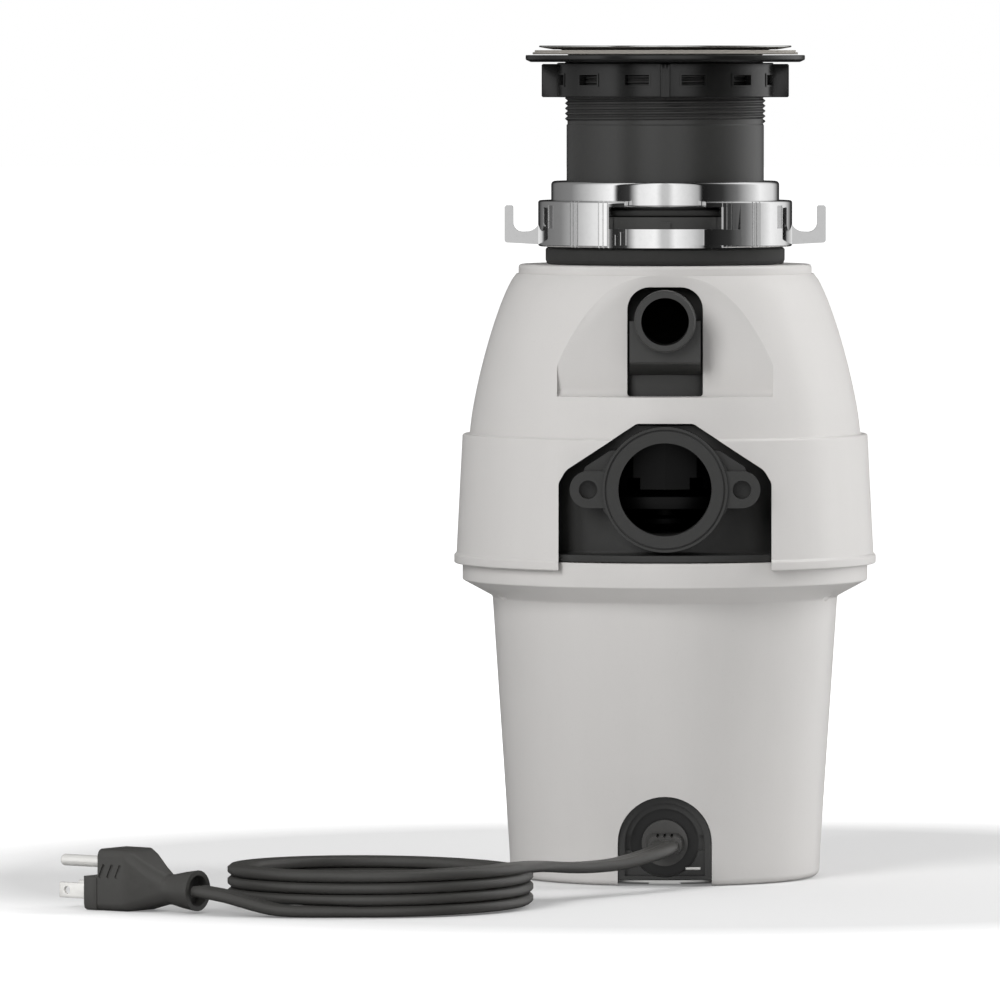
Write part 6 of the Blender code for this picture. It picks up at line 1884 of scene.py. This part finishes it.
def make_camera():
    """The camera, a long lens slightly above the disposal."""
    camera = bpy.data.cameras.new("camera")
    camera.lens = CAMERA_LENS
    camera.sensor_width = CAMERA_SENSOR
    camera.clip_end = CAMERA_FAR
    view = placed("camera", camera)
    view.location = CAMERA_PLACE
    aim = Vector(CAMERA_AIM) - Vector(CAMERA_PLACE)
    view.rotation_euler = aim.to_track_quat("-Z", "Y").to_euler()
    bpy.context.scene.camera = view


def make_stage():
    """Floor, lights, room and camera."""
    make_camera()
    make_floor()
    make_world()
    for light in LIGHTS:
        area_light(*light)
    bpy.context.scene.view_settings.view_transform = "Standard"


# ---- Settings and operators -----------------------------------------------------------------

class DisposalSizes(bpy.types.PropertyGroup):
    """Sizes that a user would change."""

    edge_round: FloatProperty(
        name="Edge rounding", description="Radius of the moulded pieces' edges", default=0.0004,
        min=0.0001, max=0.001, unit="LENGTH",
    )
    thread_pitch: FloatProperty(
        name="Thread pitch", description="Distance between the sleeve thread's crests", default=0.0022,
        min=0.001, max=0.004, unit="LENGTH",
    )
    nut_windows: IntProperty(
        name="Nut windows", description="Windows around the ring nut's wall", default=NUT_WINDOWS,
        min=4, max=16,
    )


class DisposalColours(bpy.types.PropertyGroup):
    """Colours that a user would change."""

    housing_grey: FloatVectorProperty(
        name="Housing", description="Colour of both outer shells", default=(0.66, 0.645, 0.63),
        subtype="COLOR", size=3, min=0, max=1,
    )
    moulded_black: FloatVectorProperty(
        name="Moulded black", description="Colour of the black plastic pieces",
        default=(0.032, 0.032, 0.031), subtype="COLOR", size=3, min=0, max=1,
    )
    cord_grey: FloatVectorProperty(
        name="Cord", description="Colour of the cord and plug", default=(0.052, 0.051, 0.048),
        subtype="COLOR", size=3, min=0, max=1,
    )
    gasket_grey: FloatVectorProperty(
        name="Gasket", description="Colour of the fibre gasket", default=(0.34, 0.32, 0.29),
        subtype="COLOR", size=3, min=0, max=1,
    )
    chrome_tint: FloatVectorProperty(
        name="Chrome", description="Tint of the polished rings", default=(0.80, 0.80, 0.80),
        subtype="COLOR", size=3, min=0, max=1,
    )


class PieceMaker:
    """Runs the functions that make some pieces"""

    makers = ()

    def execute(self, context):
        for make in self.makers:
            make()
        return {"FINISHED"}


class DISPOSAL_OT_cord(bpy.types.Operator):
    """Make the coiled flat cord with its plug"""

    bl_idname = "disposal.cord"
    bl_label = "Cord and plug"

    def execute(self, context):
        cord, route, length = make_cord()
        pieces = [make_plug_body(), make_blade("a", 1), make_blade("b", -1), make_ground_pin()]
        return {"FINISHED"}


class DISPOSAL_OT_lower_housing(PieceMaker, bpy.types.Operator):
    """Make the lower shell and its steel base plate"""

    bl_idname = "disposal.lower_housing"
    bl_label = "Lower housing"
    makers = (make_lower_housing, make_base_plate)


class DISPOSAL_OT_cord_entry(PieceMaker, bpy.types.Operator):
    """Make the cord entry plate and its strain relief"""

    bl_idname = "disposal.cord_entry"
    bl_label = "Cord entry"
    makers = (make_cord_entry, make_gland)


class DISPOSAL_OT_upper_cover(PieceMaker, bpy.types.Operator):
    """Make the domed upper cover"""

    bl_idname = "disposal.upper_cover"
    bl_label = "Upper cover"
    makers = (make_upper_cover,)


class DISPOSAL_OT_chamber(PieceMaker, bpy.types.Operator):
    """Make the drain chamber, the hopper and the grinding plate"""

    bl_idname = "disposal.chamber"
    bl_label = "Chamber and hopper"
    makers = (make_drain_chamber, make_hopper, make_turntable)


class DISPOSAL_OT_lock(PieceMaker, bpy.types.Operator):
    """Make the cushion, the mounting ring and the turning lock ring"""

    bl_idname = "disposal.lock"
    bl_label = "Lock rings"
    makers = (make_cushions, make_upper_ring, make_lock_ring)


class DISPOSAL_OT_sleeve(PieceMaker, bpy.types.Operator):
    """Make the threaded sleeve and its ring nut"""

    bl_idname = "disposal.sleeve"
    bl_label = "Sleeve and nut"
    makers = (make_sleeve, make_mounting_nut)


class DISPOSAL_OT_sink_clamp(PieceMaker, bpy.types.Operator):
    """Make the rings that clamp the sink and the splash guard"""

    bl_idname = "disposal.sink_clamp"
    bl_label = "Sink clamp"
    makers = (make_sink_clamp, make_splash_guard)


class DISPOSAL_OT_finishes(PieceMaker, bpy.types.Operator):
    """Give the carried-over nodes their finishes"""

    bl_idname = "disposal.finishes"
    bl_label = "Inner parts' finishes"
    makers = (finish_carried_nodes,)


class DISPOSAL_OT_stage(PieceMaker, bpy.types.Operator):
    """Make the floor, the lights and the camera"""

    bl_idname = "disposal.stage"
    bl_label = "Studio"
    makers = (make_stage,)


OPERATORS = (
    DISPOSAL_OT_stage, DISPOSAL_OT_cord, DISPOSAL_OT_lower_housing, DISPOSAL_OT_cord_entry,
    DISPOSAL_OT_upper_cover, DISPOSAL_OT_chamber, DISPOSAL_OT_lock, DISPOSAL_OT_sleeve,
    DISPOSAL_OT_sink_clamp, DISPOSAL_OT_finishes,
)


class DISPOSAL_PT_pieces(bpy.types.Panel):
    """Lists the pieces' operators and the settings"""

    bl_label = "Garbage disposal"
    bl_space_type = "VIEW_3D"
    bl_region_type = "UI"
    bl_category = "Disposal"

    def draw(self, context):
        layout = self.layout
        for group in (context.scene.disposal_sizes, context.scene.disposal_colours):
            for name in group.bl_rna.properties.keys():
                if name not in ("rna_type", "name"):
                    layout.prop(group, name)
        for operator in OPERATORS:
            layout.operator(operator.bl_idname)


CLASSES = (DisposalSizes, DisposalColours, *OPERATORS, DISPOSAL_PT_pieces)


def register():
    for cls in CLASSES:
        bpy.utils.register_class(cls)
    bpy.types.Scene.disposal_sizes = PointerProperty(type=DisposalSizes)
    bpy.types.Scene.disposal_colours = PointerProperty(type=DisposalColours)


def unregister():
    del bpy.types.Scene.disposal_sizes
    del bpy.types.Scene.disposal_colours
    for cls in reversed(CLASSES):
        bpy.utils.unregister_class(cls)


def main():
    register()
    bpy.ops.disposal.stage()
    bpy.ops.disposal.cord()
    bpy.ops.disposal.lower_housing()
    bpy.ops.disposal.cord_entry()
    bpy.ops.disposal.upper_cover()
    bpy.ops.disposal.chamber()
    bpy.ops.disposal.lock()
    bpy.ops.disposal.sleeve()
    bpy.ops.disposal.sink_clamp()
    bpy.ops.disposal.finishes()


if __name__ == "__main__":
    main()
